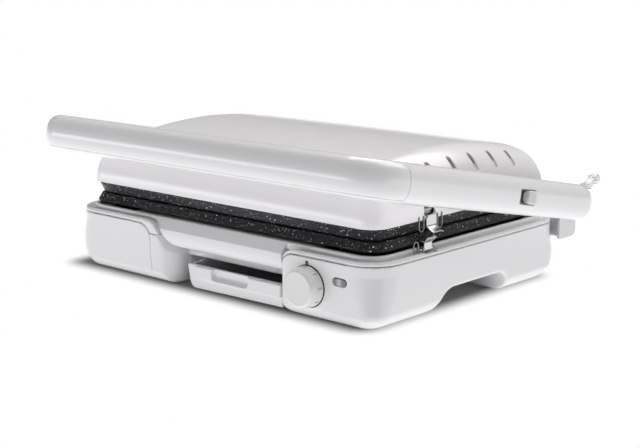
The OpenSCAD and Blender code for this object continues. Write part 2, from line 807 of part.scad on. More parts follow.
lid_tail = 6;                  // how much further the lid reaches back than forward
lid_rise_x = 1.5;              // crown across the width
lid_rise_y = 14.5;             // crown from front to back
module lid_form(inset, z0) {
    wide = lid_w / 2 - inset;
    deep = (lid_d + lid_tail) / 2 - inset;
    top = lid_top - inset;
    intersection() {
        translate([0, lid_tail / 2, 0]) plan(z0, lid_top + 1, rounded_all(wide, deep, 16 - inset));
        along_y(-half_d, half_d, crowned(wide, z0, top, shoulder - inset, lid_rise_x));
        translate([0, lid_tail / 2, 0])
            along_x(-half_w, half_w, crowned(deep, z0, top, shoulder - inset, lid_rise_y));
    }
}

vent_count = 5;
vent_first = -35;
vent_pitch = 28.3;
module lid_cover() {
    color(white)
    difference() {
        union() {
            difference() {
                lid_form(0, lid_z);
                lid_form(wall, lid_z - 1);
            }
            intersection() {
                lid_form(1, lid_z + 7);
                for (b = lid_boss_spots) rod_z(b[0], b[1], lid_z + 7, lid_top, 3.6);
            }
        }
        for (b = lid_boss_spots) rod_z(b[0], b[1], lid_z + 6, lid_z + 17, 1.5);
        both_sides() {
            // slanting vents over the shoulder
            for (i = [0:vent_count - 1])
                translate([lid_w / 2 - 18, vent_first + i * vent_pitch, lid_top - 18]) rotate([0, 45, 0])
                    block(-9, 9, -1.3, 1.3, -8, 14);
            block(lid_w / 2 - wall - 1, lid_w / 2 + 1, upper_clip_y - 7.4, upper_clip_y + 7.4,
                upper_clip_z - 4.1, upper_clip_z + 4.4);
            rod_x(lid_w / 2 - 6, lid_w / 2 + 1, pivot_y, pivot_z, 7);
        }
    }
}

lid_boss_spots = [[-167, -85], [167, -85], [-167, 60], [167, 60]];
module lid_frame() {
    in = wall + 0.3;
    color([0.25, 0.25, 0.26])
    difference() {
        union() {
            difference() {
                plan(lid_z + 1, lid_z + 7, rounded_all(lid_w / 2 - in, lid_d / 2 - in, 13));
                plan(lid_z, lid_z + 8, rounded_all(pan_half_w + 4, pan_half_d + 4, 10));
            }
            both_sides() {
                intersection() {
                    block(lid_w / 2 - 9, lid_w / 2, pivot_y - 9, pivot_y + 9, lid_z + 6, pivot_z + 9);
                    lid_form(in, lid_z);
                }
                rod_x(lid_w / 2 - 7, lid_w / 2 + 3, pivot_y, pivot_z, 6.8);
                for (y = [upper_clip_y - 9.6, upper_clip_y + 7.4])
                    block(upper_clip_x - 2.6, upper_clip_x + 2, y, y + 2.2, lid_z + 4, upper_clip_z + 3);
            }
        }
        both_sides() {
            rod_x(lid_w / 2 - 12, lid_w / 2 + 5, pivot_y, pivot_z, pin_r + pin_gap);
            rod_y(upper_clip_x, upper_clip_y - 11, upper_clip_y + 11, upper_clip_z, clip_pin_r);
            block(upper_clip_x - 3, lid_w / 2, upper_clip_y - 7.4, upper_clip_y + 7.4, lid_z + 3, lid_z + 9);
        }
        for (b = lid_boss_spots) {
            rod_z(b[0], b[1], lid_z, lid_z + 9, 1.7);
            rod_z(b[0], b[1], lid_z, lid_z + 3.2, 3.1);
        }
    }
}

module upper_plate() {
    color(black) {
        difference() {
            union() {
                intersection() {
                    flange(lid_z - 0.2, upper_z);
                    plan(upper_z - 1, lid_z + 2, rounded_all(lid_w / 2 - 1, lid_d / 2 - 1, 15));
                }
                plan(lid_z - 1, pan_top, rounded_all(pan_half_w + 3, pan_half_d + 3, 12));
            }
            plan(upper_z - 1, upper_z + recess, rounded_all(pan_half_w, pan_half_d, 10));
            plan(upper_z + recess + 4, pan_top + 1, rounded_all(pan_half_w - 1, pan_half_d - 1, 8));
        }
        rib_rows(upper_z + recess - 3, upper_z + recess + 0.2, true);
    }
}

module lid_screws() {
    color(zinc)
    for (b = lid_boss_spots)
        translate([b[0], b[1], lid_z + 1.6]) screw(1.5, 12, 2.9, 1.6);
}

base_shell();
base_cover();
rubber_feet();
lower_plate();
lower_heater();
lower_reflector();
drain_chute();
drip_tray();
tray_rails();
thermostat();
thermostat_knob();
knob_shaft();
lamp_window();
indicator_lamps();
terminal_block();
thermal_fuse();
cord_gland();
hinge_bracket_right();
hinge_bracket_left();
hinge_pins();
bracket_screws();
base_screws();
cord_hooks();
lower_clip_right();
lower_clip_left();
lower_clip_pins();
lower_clip_springs();
handle_bar();
arm_right();
arm_left();
arm_cover_right();
arm_cover_left();
arm_straps();
pivot_bolts();
arm_screws();
stop_lugs();
lock_slider();
lock_plate();
lid_cover();
lid_frame();
upper_plate();
upper_heater();
upper_reflector();
lid_screws();
upper_clip_right();
upper_clip_left();
upper_clip_pins();
upper_clip_springs();
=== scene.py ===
import math

import bmesh
import bpy
import numpy as np
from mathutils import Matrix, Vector


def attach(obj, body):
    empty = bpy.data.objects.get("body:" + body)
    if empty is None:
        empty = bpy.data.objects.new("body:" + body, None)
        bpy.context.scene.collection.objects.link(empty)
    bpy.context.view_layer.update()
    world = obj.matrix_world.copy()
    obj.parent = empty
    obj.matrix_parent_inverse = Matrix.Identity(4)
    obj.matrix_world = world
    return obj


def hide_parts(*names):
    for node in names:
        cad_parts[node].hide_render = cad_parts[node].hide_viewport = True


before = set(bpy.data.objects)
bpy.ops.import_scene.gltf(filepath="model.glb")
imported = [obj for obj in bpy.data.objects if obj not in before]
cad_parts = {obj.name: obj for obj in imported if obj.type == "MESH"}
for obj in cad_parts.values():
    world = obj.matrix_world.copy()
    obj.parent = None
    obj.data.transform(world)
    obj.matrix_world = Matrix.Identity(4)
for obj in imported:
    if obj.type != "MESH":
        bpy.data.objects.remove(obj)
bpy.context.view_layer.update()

# ---- camera, light and floor --------------------------------------------------------
# The toaster is seen from 42 degrees to the right of its front and 12 degrees above,
# in a white studio: a large soft box above and behind it, a low one in front, a low one on
# its right, and a pale floor. Close round the toaster the floor is painted dark grey as a
# painted shadow. The walls are darker high up in front, as black cards make them.

picture_w, picture_h = 640, 448
lens_px = 1375.89
azimuth, elevation, distance = math.radians(41.69), math.radians(11.83), 1.25224
target = Vector((0.02054, 0, 0.04867))
axis_px = (329.97, 221.55)

camera = bpy.data.objects.new("camera", bpy.data.cameras.new("camera"))
bpy.context.scene.collection.objects.link(camera)
back = Vector((math.sin(azimuth) * math.cos(elevation), -math.cos(azimuth) * math.cos(elevation),
               math.sin(elevation)))
camera.location = target + back * distance
camera.rotation_mode = "QUATERNION"
camera.rotation_quaternion = (-back).to_track_quat("-Z", "Y")
camera.data.sensor_width = 36
camera.data.lens = lens_px / picture_w * camera.data.sensor_width
camera.data.shift_x = (picture_w / 2 - axis_px[0]) / picture_w
camera.data.shift_y = (axis_px[1] - picture_h / 2) / picture_w
bpy.context.scene.camera = camera
bpy.context.scene.view_settings.view_transform = "Standard"


class Wire:
    """A shader socket that adds, multiplies and compares like a number."""

    def __init__(self, tree, socket):
        self.tree, self.socket = tree, socket

    def maths(self, operation, a, b=0.0):
        return node(self.tree, "ShaderNodeMath", {"operation": operation}, {0: a, 1: b})

    def __add__(self, other): return self.maths("ADD", self, other)
    def __radd__(self, other): return self.maths("ADD", other, self)
    def __sub__(self, other): return self.maths("SUBTRACT", self, other)
    def __rsub__(self, other): return self.maths("SUBTRACT", other, self)
    def __mul__(self, other): return self.maths("MULTIPLY", self, other)
    def __rmul__(self, other): return self.maths("MULTIPLY", other, self)
    def __pow__(self, other): return self.maths("POWER", self, other)
    def __lt__(self, other): return self.maths("LESS_THAN", self, other)
    def __gt__(self, other): return self.maths("GREATER_THAN", self, other)


def node(tree, kind, settings=None, sockets=None, out=0):
    """A new node of any kind: its settings first, then the values or links of its sockets."""
    made = tree.nodes.new(kind)
    for key, value in (settings or {}).items():
        if key == "stops":
            while len(made.color_ramp.elements) < len(value):
                made.color_ramp.elements.new(0.5)
            for stop, (place, colour) in zip(made.color_ramp.elements, value):
                stop.position, stop.color = place, colour
        else:
            setattr(made, key, value)
    for key, value in (sockets or {}).items():
        if isinstance(value, Wire):
            tree.links.new(value.socket, made.inputs[key])
        else:
            made.inputs[key].default_value = value
    return None if out is None else Wire(tree, made.outputs[out])


def mixed(tree, share, low, high):
    """One colour going over into another."""
    return node(tree, "ShaderNodeMix", {"data_type": "RGBA"}, {0: share, 6: low, 7: high}, out=2)


def grey(level, warmth=0.0):
    return (level * (1 + warmth), level, level * (1 - warmth), 1)


def seen_directly(tree):
    """1 for what the lens sees, also by way of metal or through a clear piece."""
    direct = node(tree, "ShaderNodeLightPath", out="Is Camera Ray")
    through = node(tree, "ShaderNodeLightPath", out="Is Transmission Ray")
    return direct.maths("MAXIMUM", direct, through)


world = bpy.data.worlds.new("studio")
bpy.context.scene.world = world
world.use_nodes = True
room = world.node_tree
room.nodes.clear()
around = node(room, "ShaderNodeTexCoord")
up = node(room, "ShaderNodeSeparateXYZ", None, {0: around}, out="Z")
ahead = node(room, "ShaderNodeSeparateXYZ", None, {0: around}, out="Y") * -1
bright = node(room, "ShaderNodeValToRGB", {"stops": [
    (0.0, grey(0.80)), (0.47, grey(0.42)), (0.53, grey(0.22)), (0.60, grey(0.22)),
    (0.78, grey(0.40)), (1.0, grey(0.9, 0.01))]}, {0: up * 0.5 + 0.5})
dim = node(room, "ShaderNodeValToRGB", {"stops": [
    (0.0, grey(0.90)), (0.49, grey(0.72)), (0.54, grey(0.14)), (0.70, grey(0.03)),
    (0.90, grey(0.10)), (1.0, grey(0.7, 0.01))]}, {0: up * 0.5 + 0.5})
turned_front = node(room, "ShaderNodeMapRange", {"interpolation_type": "SMOOTHSTEP"},
                    {0: ahead, 1: -0.15, 2: 0.45})
rightward = node(room, "ShaderNodeMapRange", {"interpolation_type": "SMOOTHSTEP"},
                 {0: node(room, "ShaderNodeSeparateXYZ", None, {0: around}, out="X"),
                  1: 0.25, 2: 0.85, 3: 1.0, 4: 0.55})
walls = mixed(room, turned_front, bright, dim)
wall_strength = 0.80
lit = node(room, "ShaderNodeBackground", None, {0: walls, 1: rightward * wall_strength})
white = node(room, "ShaderNodeBackground", None, {0: grey(1.0), 1: 1.0})
shown = node(room, "ShaderNodeMixShader", None, {0: seen_directly(room), 1: lit, 2: white})
node(room, "ShaderNodeOutputWorld", None, {0: shown}, out=None)


def softbox(name, place, size, watts, colour):
    lamp = bpy.data.lights.new(name, "AREA")
    lamp.shape = "RECTANGLE"
    lamp.size, lamp.size_y = size
    lamp.energy = watts
    lamp.color = colour
    stand = bpy.data.objects.new(name, lamp)
    bpy.context.scene.collection.objects.link(stand)
    stand.location = place
    stand.rotation_mode = "QUATERNION"
    stand.rotation_quaternion = (-Vector(place)).to_track_quat("-Z", "Y")


softbox("back_top", (-0.1, 0.80, 1.60), (2.2, 1.4), 31.0, (1.0, 0.985, 0.96))
softbox("front_left", (-1.15, -1.9, 0.16), (2.6, 0.3), 9.5, (0.975, 0.975, 1.0))
softbox("right", (1.9, 0.2, 0.22), (1.6, 0.4), 3.0, (0.98, 0.98, 1.0))

floor_size = 6.0
# Inside this rectangle and a little past it the floor is painted dark as the toaster's shadow.
shade_middle_x, shade_half = -0.014, (0.165, 0.111, 0)
shade_from, shade_to = 0.005, 0.034     # how far past that rectangle the floor turns white
floor_glow, camera_white = 1.15, 1.0
floor_mesh = bpy.data.meshes.new("floor")
floor_mesh.from_pydata([(x * floor_size, y * floor_size, 0) for x, y in
                        ((-1, -1), (1, -1), (1, 1), (-1, 1))], [], [(0, 1, 2, 3)])
floor = bpy.data.objects.new("floor", floor_mesh)
bpy.context.scene.collection.objects.link(floor)
paper = bpy.data.materials.new("paper")
paper.use_nodes = True
sheet = paper.node_tree
sheet.nodes.clear()
spot = node(sheet, "ShaderNodeTexCoord", out="Object")
past = node(sheet, "ShaderNodeVectorMath", {"operation": "ADD"}, {0: spot, 1: (-shade_middle_x, 0, 0)})
past = node(sheet, "ShaderNodeVectorMath", {"operation": "ABSOLUTE"}, {0: past})
past = node(sheet, "ShaderNodeVectorMath", {"operation": "SUBTRACT"}, {0: past, 1: shade_half})
past = node(sheet, "ShaderNodeVectorMath", {"operation": "MAXIMUM"}, {0: past, 1: (0, 0, 0)})
away = node(sheet, "ShaderNodeVectorMath", {"operation": "LENGTH"}, {0: past}, out="Value")
fade = node(sheet, "ShaderNodeMapRange", {"interpolation_type": "SMOOTHSTEP"},
            {0: away, 1: shade_from, 2: shade_to})
looked_at = seen_directly(sheet)
# Close round the base the floor is a dark grey diffuse with a faint camera-only lift: a painted shadow
# that fades into the white floor further out.
painted_shadow_grey = node(sheet, "ShaderNodeBsdfDiffuse", None, {0: grey(0.18)})
lift = node(sheet, "ShaderNodeEmission", None, {0: grey(1.0), 1: looked_at * 0.04})
near = node(sheet, "ShaderNodeAddShader", None, {0: painted_shadow_grey, 1: lift})
far = node(sheet, "ShaderNodeEmission", None,
           {0: grey(1.0), 1: floor_glow - looked_at * (floor_glow - camera_white)})
laid = node(sheet, "ShaderNodeMixShader", None, {0: fade, 1: near, 2: far})
node(sheet, "ShaderNodeOutputMaterial", None, {0: laid}, out=None)
floor_mesh.materials.append(paper)

# ---- base shell ---------------------------------------------------------------------
# The lower casing: one glossy white ABS moulding with a pod on each side of the drip
# tray and a finger arch in each side wall. It is held to the cover by four screws.


def both(a, b, r=0.0):
    """Where two solids overlap, with the edge between them rounded to radius r."""
    if np.ndim(r) == 0 and r == 0:
        return np.maximum(a, b)
    return (np.minimum(-r, np.maximum(a, b))
            + np.hypot(np.maximum(a + r, 0), np.maximum(b + r, 0)))


def either(a, b, r=0.0):
    """Two solids joined, with the corner between them filled to radius r."""
    return -both(-a, -b, r)


def without(a, b, r=0.0):
    """One solid cut out of another, with the cut's edge rounded to radius r."""
    return both(a, -b, r)


def between(x, low, high):
    return np.abs(x - (low + high) / 2) - (high - low) / 2


def arc(cx, cy, r, start, end, n=6):
    turns = [math.radians(start + (end - start) * i / n) for i in range(n + 1)]
    return [(cx + r * math.cos(t), cy + r * math.sin(t)) for t in turns]


def outline(u, v, points):
    """Signed distance in a plane from a closed line through the points."""
    u, v = np.broadcast_arrays(u, v)
    nearest = np.full(u.shape, 1e9, u.dtype)
    within = np.zeros(u.shape, bool)
    for (x0, y0), (x1, y1) in zip(points, points[1:] + points[:1]):
        ex, ey = x1 - x0, y1 - y0
        wx, wy = u - x0, v - y0
        along = np.clip((wx * ex + wy * ey) / (ex * ex + ey * ey or 1), 0, 1)
        nearest = np.minimum(nearest, (wx - along * ex) ** 2 + (wy - along * ey) ** 2)
        if y0 != y1:
            within ^= ((y0 <= v) != (y1 <= v)) & (wx < wy * ex / ey)
    return np.where(within, -1, 1) * np.sqrt(nearest)


def line_distance(u, v, points):
    """Distance in a plane from an open line through the points."""
    nearest = 1e9
    for (x0, y0), (x1, y1) in zip(points, points[1:]):
        ex, ey = x1 - x0, y1 - y0
        along = np.clip(((u - x0) * ex + (v - y0) * ey) / (ex * ex + ey * ey), 0, 1)
        nearest = np.minimum(nearest, np.hypot(u - x0 - along * ex, v - y0 - along * ey))
    return nearest


def settle(points, field, turns=3):
    """Points moved onto the surface where field is zero, and the surface's normals there."""
    h = 0.02
    for turn in range(turns + 1):
        x, y, z = points.T
        here = field(x, y, z)
        slope = np.stack([field(x + h, y, z) - here, field(x, y + h, z) - here,
                          field(x, y, z + h) - here], 1) / h
        steep = np.maximum((slope ** 2).sum(1), 0.05)
        if turn < turns:
            step = slope * np.clip(here / steep, -1.5, 1.5)[:, None]
            points = points - step
    return points, slope / np.sqrt(steep)[:, None]


def skin(field, low, high, step):
    """Quads round the surface where field is zero, one corner in each grid cell it crosses."""
    sides = [np.arange(a - step, b + 2 * step, step) for a, b in zip(low, high)]
    x, y, z = np.meshgrid(*[s.astype(np.float32) for s in sides], indexing="ij", sparse=True)
    shape = tuple(len(s) for s in sides)
    value = np.broadcast_to(field(x, y, z), shape)
    solid = value < 0
    corners = [(i, j, k) for i in (0, 1) for j in (0, 1) for k in (0, 1)]

    def shifted(c):
        return tuple(slice(c[a], shape[a] - 1 + c[a]) for a in range(3))

    count = sum(solid[shifted(c)].astype(np.int8) for c in corners)
    cells = np.argwhere((count > 0) & (count < 8))
    at = {c: value[tuple((cells + c).T)] for c in corners}
    total = np.zeros((len(cells), 3))
    found = np.zeros(len(cells))
    for c in corners:
        for axis in range(3):
            if c[axis]:
                continue
            d = tuple(1 if a == axis else c[a] for a in range(3))
            crossed = (at[c] < 0) != (at[d] < 0)
            part = np.where(crossed, at[c] / np.where(crossed, at[c] - at[d], 1), 0)
            place = np.tile(np.array(c, float), (len(cells), 1))
            place[:, axis] += part
            total += place * crossed[:, None]
            found += crossed
    points = (cells + total / found[:, None]) * step + [s[0] for s in sides]
    index = np.full(shape, -1)
    index[tuple(cells.T)] = np.arange(len(cells))
    quads = []
    for axis, (u, v) in enumerate(((1, 2), (2, 0), (0, 1))):
        first = tuple(slice(0, shape[a] - 1) if a == axis else slice(1, shape[a] - 1) for a in range(3))
        second = tuple(slice(1, shape[a]) if a == axis else slice(1, shape[a] - 1) for a in range(3))
        for flip in (False, True):
            edge = np.argwhere((solid[first] != solid[second]) & (solid[first] != flip))
            edge[:, [u, v]] += 1
            ring = []
            for du, dv in ((1, 1), (0, 1), (0, 0), (1, 0)):
                cell = edge.copy()
                cell[:, u] -= du
                cell[:, v] -= dv
                ring.append(index[tuple(cell.T)])
            quads.append(np.stack(ring[::-1] if flip else ring, 1))
    return points, np.concatenate(quads)


def moulded(name, field, low, high, step=1.5, keep=0.4, detail=None, reach=1.2, finest=0.45,
            turned=None):
    """A piece whose surface is where field(x, y, z), in millimetres, is zero. keep is the share
    of faces that stay, edges nearer to a fine detail than reach are split again, and turned
    moves the finished piece from its own axes to the toaster's."""
    points, quads = skin(field, low, high, step)
    points, _ = settle(points, field)
    mesh = bpy.data.meshes.new(name)
    mesh.vertices.add(len(points))
    mesh.vertices.foreach_set("co", points.ravel())
    mesh.loops.add(quads.size)
    mesh.loops.foreach_set("vertex_index", quads.ravel())
    mesh.polygons.add(len(quads))
    mesh.polygons.foreach_set("loop_start", np.arange(0, quads.size, 4))
    mesh.update(calc_edges=True)
    piece = bpy.data.objects.new(name, mesh)
    bpy.context.scene.collection.objects.link(piece)
    if keep < 1:
        thin = piece.modifiers.new("thin", "DECIMATE")
        thin.ratio = keep
        piece.data = bpy.data.meshes.new_from_object(
            piece.evaluated_get(bpy.context.evaluated_depsgraph_get()))
        piece.modifiers.clear()
        bpy.data.meshes.remove(mesh)
    if detail:
        refine(piece.data, detail, reach, finest)
    mesh = piece.data
    mesh.name = name
    places = np.empty(len(mesh.vertices) * 3)
    mesh.vertices.foreach_get("co", places)
    places, normals = settle(places.reshape(-1, 3), field)
    if turned:
        places, normals = turned(places), turned(normals, False)
    mesh.vertices.foreach_set("co", (places * 0.001).ravel())
    mesh.polygons.foreach_set("use_smooth", np.ones(len(mesh.polygons), bool))
    mesh.update()
    mesh.normals_split_custom_set_from_vertices(normals)
    return piece


def refine(mesh, detail, reach, finest):
    """Splits the edges near a fine detail until they are short enough to show it."""
    work = bmesh.new()
    work.from_mesh(mesh)
    bmesh.ops.triangulate(work, faces=work.faces)
    for turn in range(6):
        ends = np.array([[*e.verts[0].co, *e.verts[1].co] for e in work.edges])
        a, b = ends[:, :3], ends[:, 3:]
        length = np.linalg.norm(b - a, axis=1)
        near = np.minimum.reduce([detail(*(a + (b - a) * t).T) for t in (0, 0.25, 0.5, 0.75, 1)])
        split = np.flatnonzero((length > finest) & (near < reach))
        if not len(split):
            break
        work.edges.ensure_lookup_table()
        bmesh.ops.subdivide_edges(work, edges=[work.edges[i] for i in split], cuts=1)
        bmesh.ops.triangulate(work, faces=[f for f in work.faces if len(f.verts) > 3])
    work.to_mesh(mesh)
    work.free()


base_w, base_d, base_corner = 370, 262, 28
seam_z, seam_gap = 53.0, 0.4
foot_h = 2.0
pod_left_x, pod_right_x = -50, 82
notch_y, bay_back, slot_top = -109, 60, 26
arch_top, arch_front, arch_back = 21.5, -66, 46
groove_w, groove_deep = 0.5, 0.9
knob_x, knob_z, knob_r, knob_gap = 113.7, 29.3, 17, 0.5
shell_wall, shaft_hole_r = 3.0, 5
lamp_x, lamp_z = 147, 38
panel_edge_x = -77                     # where the left pod's flat front face ends
belly_low = 31.5


def corner_radius(z):
    """The front corners are wide at the seam and tighter towards the floor."""
    return 12 + 18 * np.clip((z - 4) / 40, 0, 1) ** 0.8


def tuck(z, start, depth, power):
    """How far a wall is drawn in below height start; depth is reached at the floor."""
    return depth * np.clip((start - z) / (start - foot_h), 0, 1) ** power


def tub(x, y, z, inset=0.0):
    side_in = np.where(x < 0, tuck(z, 36, 19, 2.3), tuck(z, 15, 11, 1.7))
    end_in = np.where(y < 0, tuck(z, 10.5, 5.5, 1.0), tuck(z, 31, 23, 2.2))
    wall_x = np.abs(x) - base_w / 2 + side_in + inset
    wall_y = np.abs(y) - base_d / 2 + end_in + inset
    sides = both(wall_x, wall_y, corner_radius(z) - inset * 0.5)
    return both(sides, foot_h + inset - z, 4.5)


def bay_plan(x, y):
    left_r, right_r = 24, 6
    return outline(x, y, [(pod_right_x, notch_y), (pod_left_x, notch_y)]
                   + arc(pod_left_x - left_r, notch_y + 0.1, left_r, 0, -88, 10)
                   + [(pod_left_x - left_r, -150), (pod_right_x + right_r, -150)]
                   + arc(pod_right_x + right_r, right_r - base_d / 2, right_r, 270, 180, 4))


def dip_line(out=0.0):
    """The S-curve where the cover dips past the left pod, seen from the front."""
    return (arc(pod_left_x - 34, seam_z - 15, 18.6 + out, 86, 34, 6)
            + arc(pod_left_x + 2, seam_z - 1.5, 17.2 - out, 215, 268, 6))


def beyond_dip(x, z, out=0.0, end=pod_left_x + 15):
    """Right of and above the S-curve, as far as end."""
    line = dip_line(out)
    return outline(x, z, [(line[0][0] - 6 + out, 80), (line[0][0] - 3 + out, 58.5)] + line
                   + [(end, line[-1][1]), (end, 80)])


def panel(x, z, grow=0.0):
    """The flat front faces of both pods, whose upper inner corners are round."""
    left = both(x - panel_edge_x - grow, z - seam_z - grow, 15 + grow)
    right = both(pod_right_x - x - grow, z - seam_z - grow, 15 + grow)
    return np.where(x < 0, left, right)


def pod_ends(x, z):
    """What the control pod's lower inner corner loses."""
    return both(pod_right_x - x, foot_h - z, 13)


def arch_line():
    return ([(arch_back, -9), (arch_back + 1, 5)]
            + arc(arch_back - 13, arch_top - 13.5, 13.5, 8, 90, 6)
            + arc(-29, arch_top - 24, 24, 90, 160, 6)
            + [(arch_front + 10, 2.6), (arch_front + 4, 1), (arch_front, -9)])


def pill(x, z, grow=0.0):
    return np.hypot(np.maximum(np.abs(x - lamp_x) - 4.2, 0), z - lamp_z) - 2.8 - grow


dot_x, dot_z, dot_r = 112.5, 48.3, 1.9  # the knob's pointer, a dimple filled with black
wrap_low = 45                          # where the cover's lip ends beside the left pod
groove_line = arc(panel_edge_x - 15, seam_z - 15, 15, 30, 0, 4) + [(-76.7, 22), (-75, 12.5)]


def shell_field(x, y, z):
    front = y - notch_y
    body = both(tub(x, y, z), z - seam_z, 0.4)
    body = without(body, bay_plan(x, y) + 0 * z, 2.2)
    body = without(body, both(beyond_dip(x, z), front), 7)
    at_front = both(both(x - 200, -200 - x), front)
    body = without(body, both(both(-panel(x, z), wrap_low - 0.3 - z), at_front), 0.4)
    body = without(body, both(both(-pod_ends(x, z), between(x, 60, 100)), front), 2)
    body = without(body, both(both(between(x, pod_left_x, pod_right_x), y - bay_back), z - slot_top), 1.5)
    body = without(body, outline(y, z, arch_line()) + 0 * x, 3.0)
    behind = np.minimum(notch_y + 3 - y, np.minimum(x - pod_left_x + 42, pod_right_x + 4 - x))
    body = without(body, both(both(tub(x, y, z, shell_wall), 29 - z), behind))
    body = without(body, both(np.hypot(x - knob_x, z - knob_z) - shaft_hole_r, y + 120))
    body = without(body, both(pill(x, z, 0.3), y + 127.5), 0.3)
    body = without(body, both(np.hypot(x - knob_x, z - knob_z) - knob_r - knob_gap, y + 130.1), 0.2)
    groove = np.exp(-(line_distance(x, z, groove_line) / groove_w) ** 2)
    dot = np.clip(1 - np.hypot(x - dot_x, z - dot_z) / dot_r, 0, 1)
    return body + (groove_deep * groove + 0.5 * np.sqrt(dot)) * (y < -129)


def shell_detail(x, y, z):
    front = np.maximum(y + 128, 0)
    near = np.minimum(line_distance(x, z, groove_line) - 1,
                      np.hypot(x - dot_x, z - dot_z) - dot_r)
    near = np.minimum(near, np.abs(np.hypot(x - knob_x, z - knob_z) - knob_r - knob_gap) - 0.3)
    return np.minimum(np.hypot(np.maximum(near, 0), front),
                      np.hypot(pill(x, z, 0.3), np.maximum(y + 127, 0)))


def standard(name, base_colour, roughness, **steady):
    """A material: its tree, and its main shader with the given colour and steady values."""
    made = bpy.data.materials.new(name)
    made.use_nodes = True
    tree = made.node_tree
    tree.nodes.clear()
    shader = tree.nodes.new("ShaderNodeBsdfPrincipled")
    shader.inputs["Base Color"].default_value = base_colour
    shader.inputs["Roughness"].default_value = roughness
    for key, value in steady.items():
        shader.inputs[key.replace("_", " ")].default_value = value
    node(tree, "ShaderNodeOutputMaterial", None, {0: Wire(tree, shader.outputs[0])}, out=None)
    return made, tree, shader


def feed(tree, shader, **changing):
    for key, value in changing.items():
        tree.links.new(value.socket, shader.inputs[key.replace("_", " ")])


def noise(tree, scale, detail=2.0, stretch=None):
    place = node(tree, "ShaderNodeTexCoord", out="Object")
    if stretch:
        place = node(tree, "ShaderNodeVectorMath", {"operation": "MULTIPLY"}, {0: place, 1: stretch})
    return node(tree, "ShaderNodeTexNoise", None, {"Vector": place, "Scale": scale, "Detail": detail})


def bump(tree, height, strength, depth):
    return node(tree, "ShaderNodeBump", None, {"Strength": strength, "Distance": depth,
                                               "Height": height}, out="Normal")


def spot_mask(tree, x, z, radius):
    """1 inside a round spot on the front face, given in millimetres."""
    place = node(tree, "ShaderNodeTexCoord", out="Object")
    sx = node(tree, "ShaderNodeSeparateXYZ", None, {0: place}, out="X") - x * 0.001
    sy = node(tree, "ShaderNodeSeparateXYZ", None, {0: place}, out="Y")
    sz = node(tree, "ShaderNodeSeparateXYZ", None, {0: place}, out="Z") - z * 0.001
    away = (sx * sx + sz * sz) ** 0.5
    return (away < radius * 0.001) * (sy < -0.129)


def white_plastic(name, colour, gloss):
    """Moulded white ABS: faint mottling, a fine orange peel and slightly uneven gloss."""
    made, tree, shader = standard(name, colour, gloss, Specular_IOR_Level=0.5, Coat_Roughness=0.08,
                                  Coat_Weight=0.25)
    cloudy = noise(tree, 14, 3)
    tint = mixed(tree, cloudy, tuple(c * 0.975 for c in colour[:3]) + (1,), colour)
    peel = noise(tree, 900, 2) * 0.6 + noise(tree, 260, 1) * 0.4
    feed(tree, shader, Base_Color=tint, Roughness=noise(tree, 55, 3) * 0.10 + (gloss - 0.05),
         Normal=bump(tree, peel, 0.05, 0.00015))
    return made, tree, shader, tint


def finished(piece, material):
    """Gives a piece its one material."""
    piece.data.materials.clear()
    piece.data.materials.append(material)


casing_colour = (0.882, 0.868, 0.886, 1)
casing_gloss = 0.24
casing, *_ = white_plastic("casing_white", casing_colour, casing_gloss)
casing_dot_and_painted_shade, casing_dot_and_painted_shade_tree, casing_dot_and_painted_shade_shader, casing_dot_and_painted_shade_tint = white_plastic("casing_with_dot_and_painted_shade",
                                                                    casing_colour, casing_gloss)
# The pointer dot is black filling; the floor of the recess round the knob is painted near-black as
# painted shade in the gap round the knob.
dot_mask = spot_mask(casing_dot_and_painted_shade_tree, dot_x, dot_z, dot_r)
painted_gap_shade_mask = spot_mask(casing_dot_and_painted_shade_tree, knob_x, knob_z, knob_r + 0.45)
feed(casing_dot_and_painted_shade_tree, casing_dot_and_painted_shade_shader,
     Base_Color=mixed(casing_dot_and_painted_shade_tree, dot_mask.maths("MAXIMUM", dot_mask, painted_gap_shade_mask), casing_dot_and_painted_shade_tint,
                      (0.03, 0.03, 0.035, 1)))

shell = moulded("shell_moulding", shell_field, (-185, -131, 2), (185, 131, 53), 1.5, 0.35,
                shell_detail)
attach(shell, "base")
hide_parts("base_shell")
finished(shell, casing_dot_and_painted_shade)

# ---- base cover ---------------------------------------------------------------------
# The upper casing: a white ring with a rolled lip outside, a gutter, and a raised rim that
# the lower plate sits in. Between the pods it swells into the round front over the tray.

cover_z, lip_z, gutter_z, rim_z, well_z = 53.4, 57.0, 54.5, 59.5, 56.0
clip_y = -61.5
lip_profile = ([(0, cover_z), (0, lip_z - 2.2)] + arc(2.2, lip_z - 2.2, 2.2, 180, 90, 4)
               + [(4.2, lip_z), (5.6, 56.2), (6.6, gutter_z), (9.6, gutter_z - 0.1), (9.6, cover_z),
                  (5.2, cover_z), (5.2, 50.4), (3.3, 50.4), (3.3, cover_z)])
rim_profile = ([(8.8, cover_z), (9.0, gutter_z)] + arc(10.5, rim_z - 1.3, 1.3, 180, 90, 4)
               + arc(12.2, rim_z - 1.3, 1.3, 90, 0, 4) + [(13.6, well_z), (23.3, well_z - 0.2),
                                                          (23.3, cover_z)])
belly_profile = ([(-104, rim_z), (-120.4, rim_z)] + arc(-120.6, rim_z - 2, 2, 90, 150, 3)
                 + [(-126.2, 52.6)] + arc(-113, belly_low + 15.5, 15.2, 168, 252, 9)
                 + [(-104, belly_low + 0.2)])


def inset(x, y):
    """How far a point lies inside the casing's outline in plan."""
    return -both(np.abs(x) - base_w / 2, np.abs(y) - base_d / 2, 30.0)


def pod_limit(x, y, z):
    """Where the lip may be: over the pods, and not over the round front between them."""
    left = -beyond_dip(x, z, 0.3, 200)
    right = both(pod_right_x - x, z - lip_z - 0.2, 17)
    return np.where(y < notch_y, np.where(x < 10, left, right), -50.0)


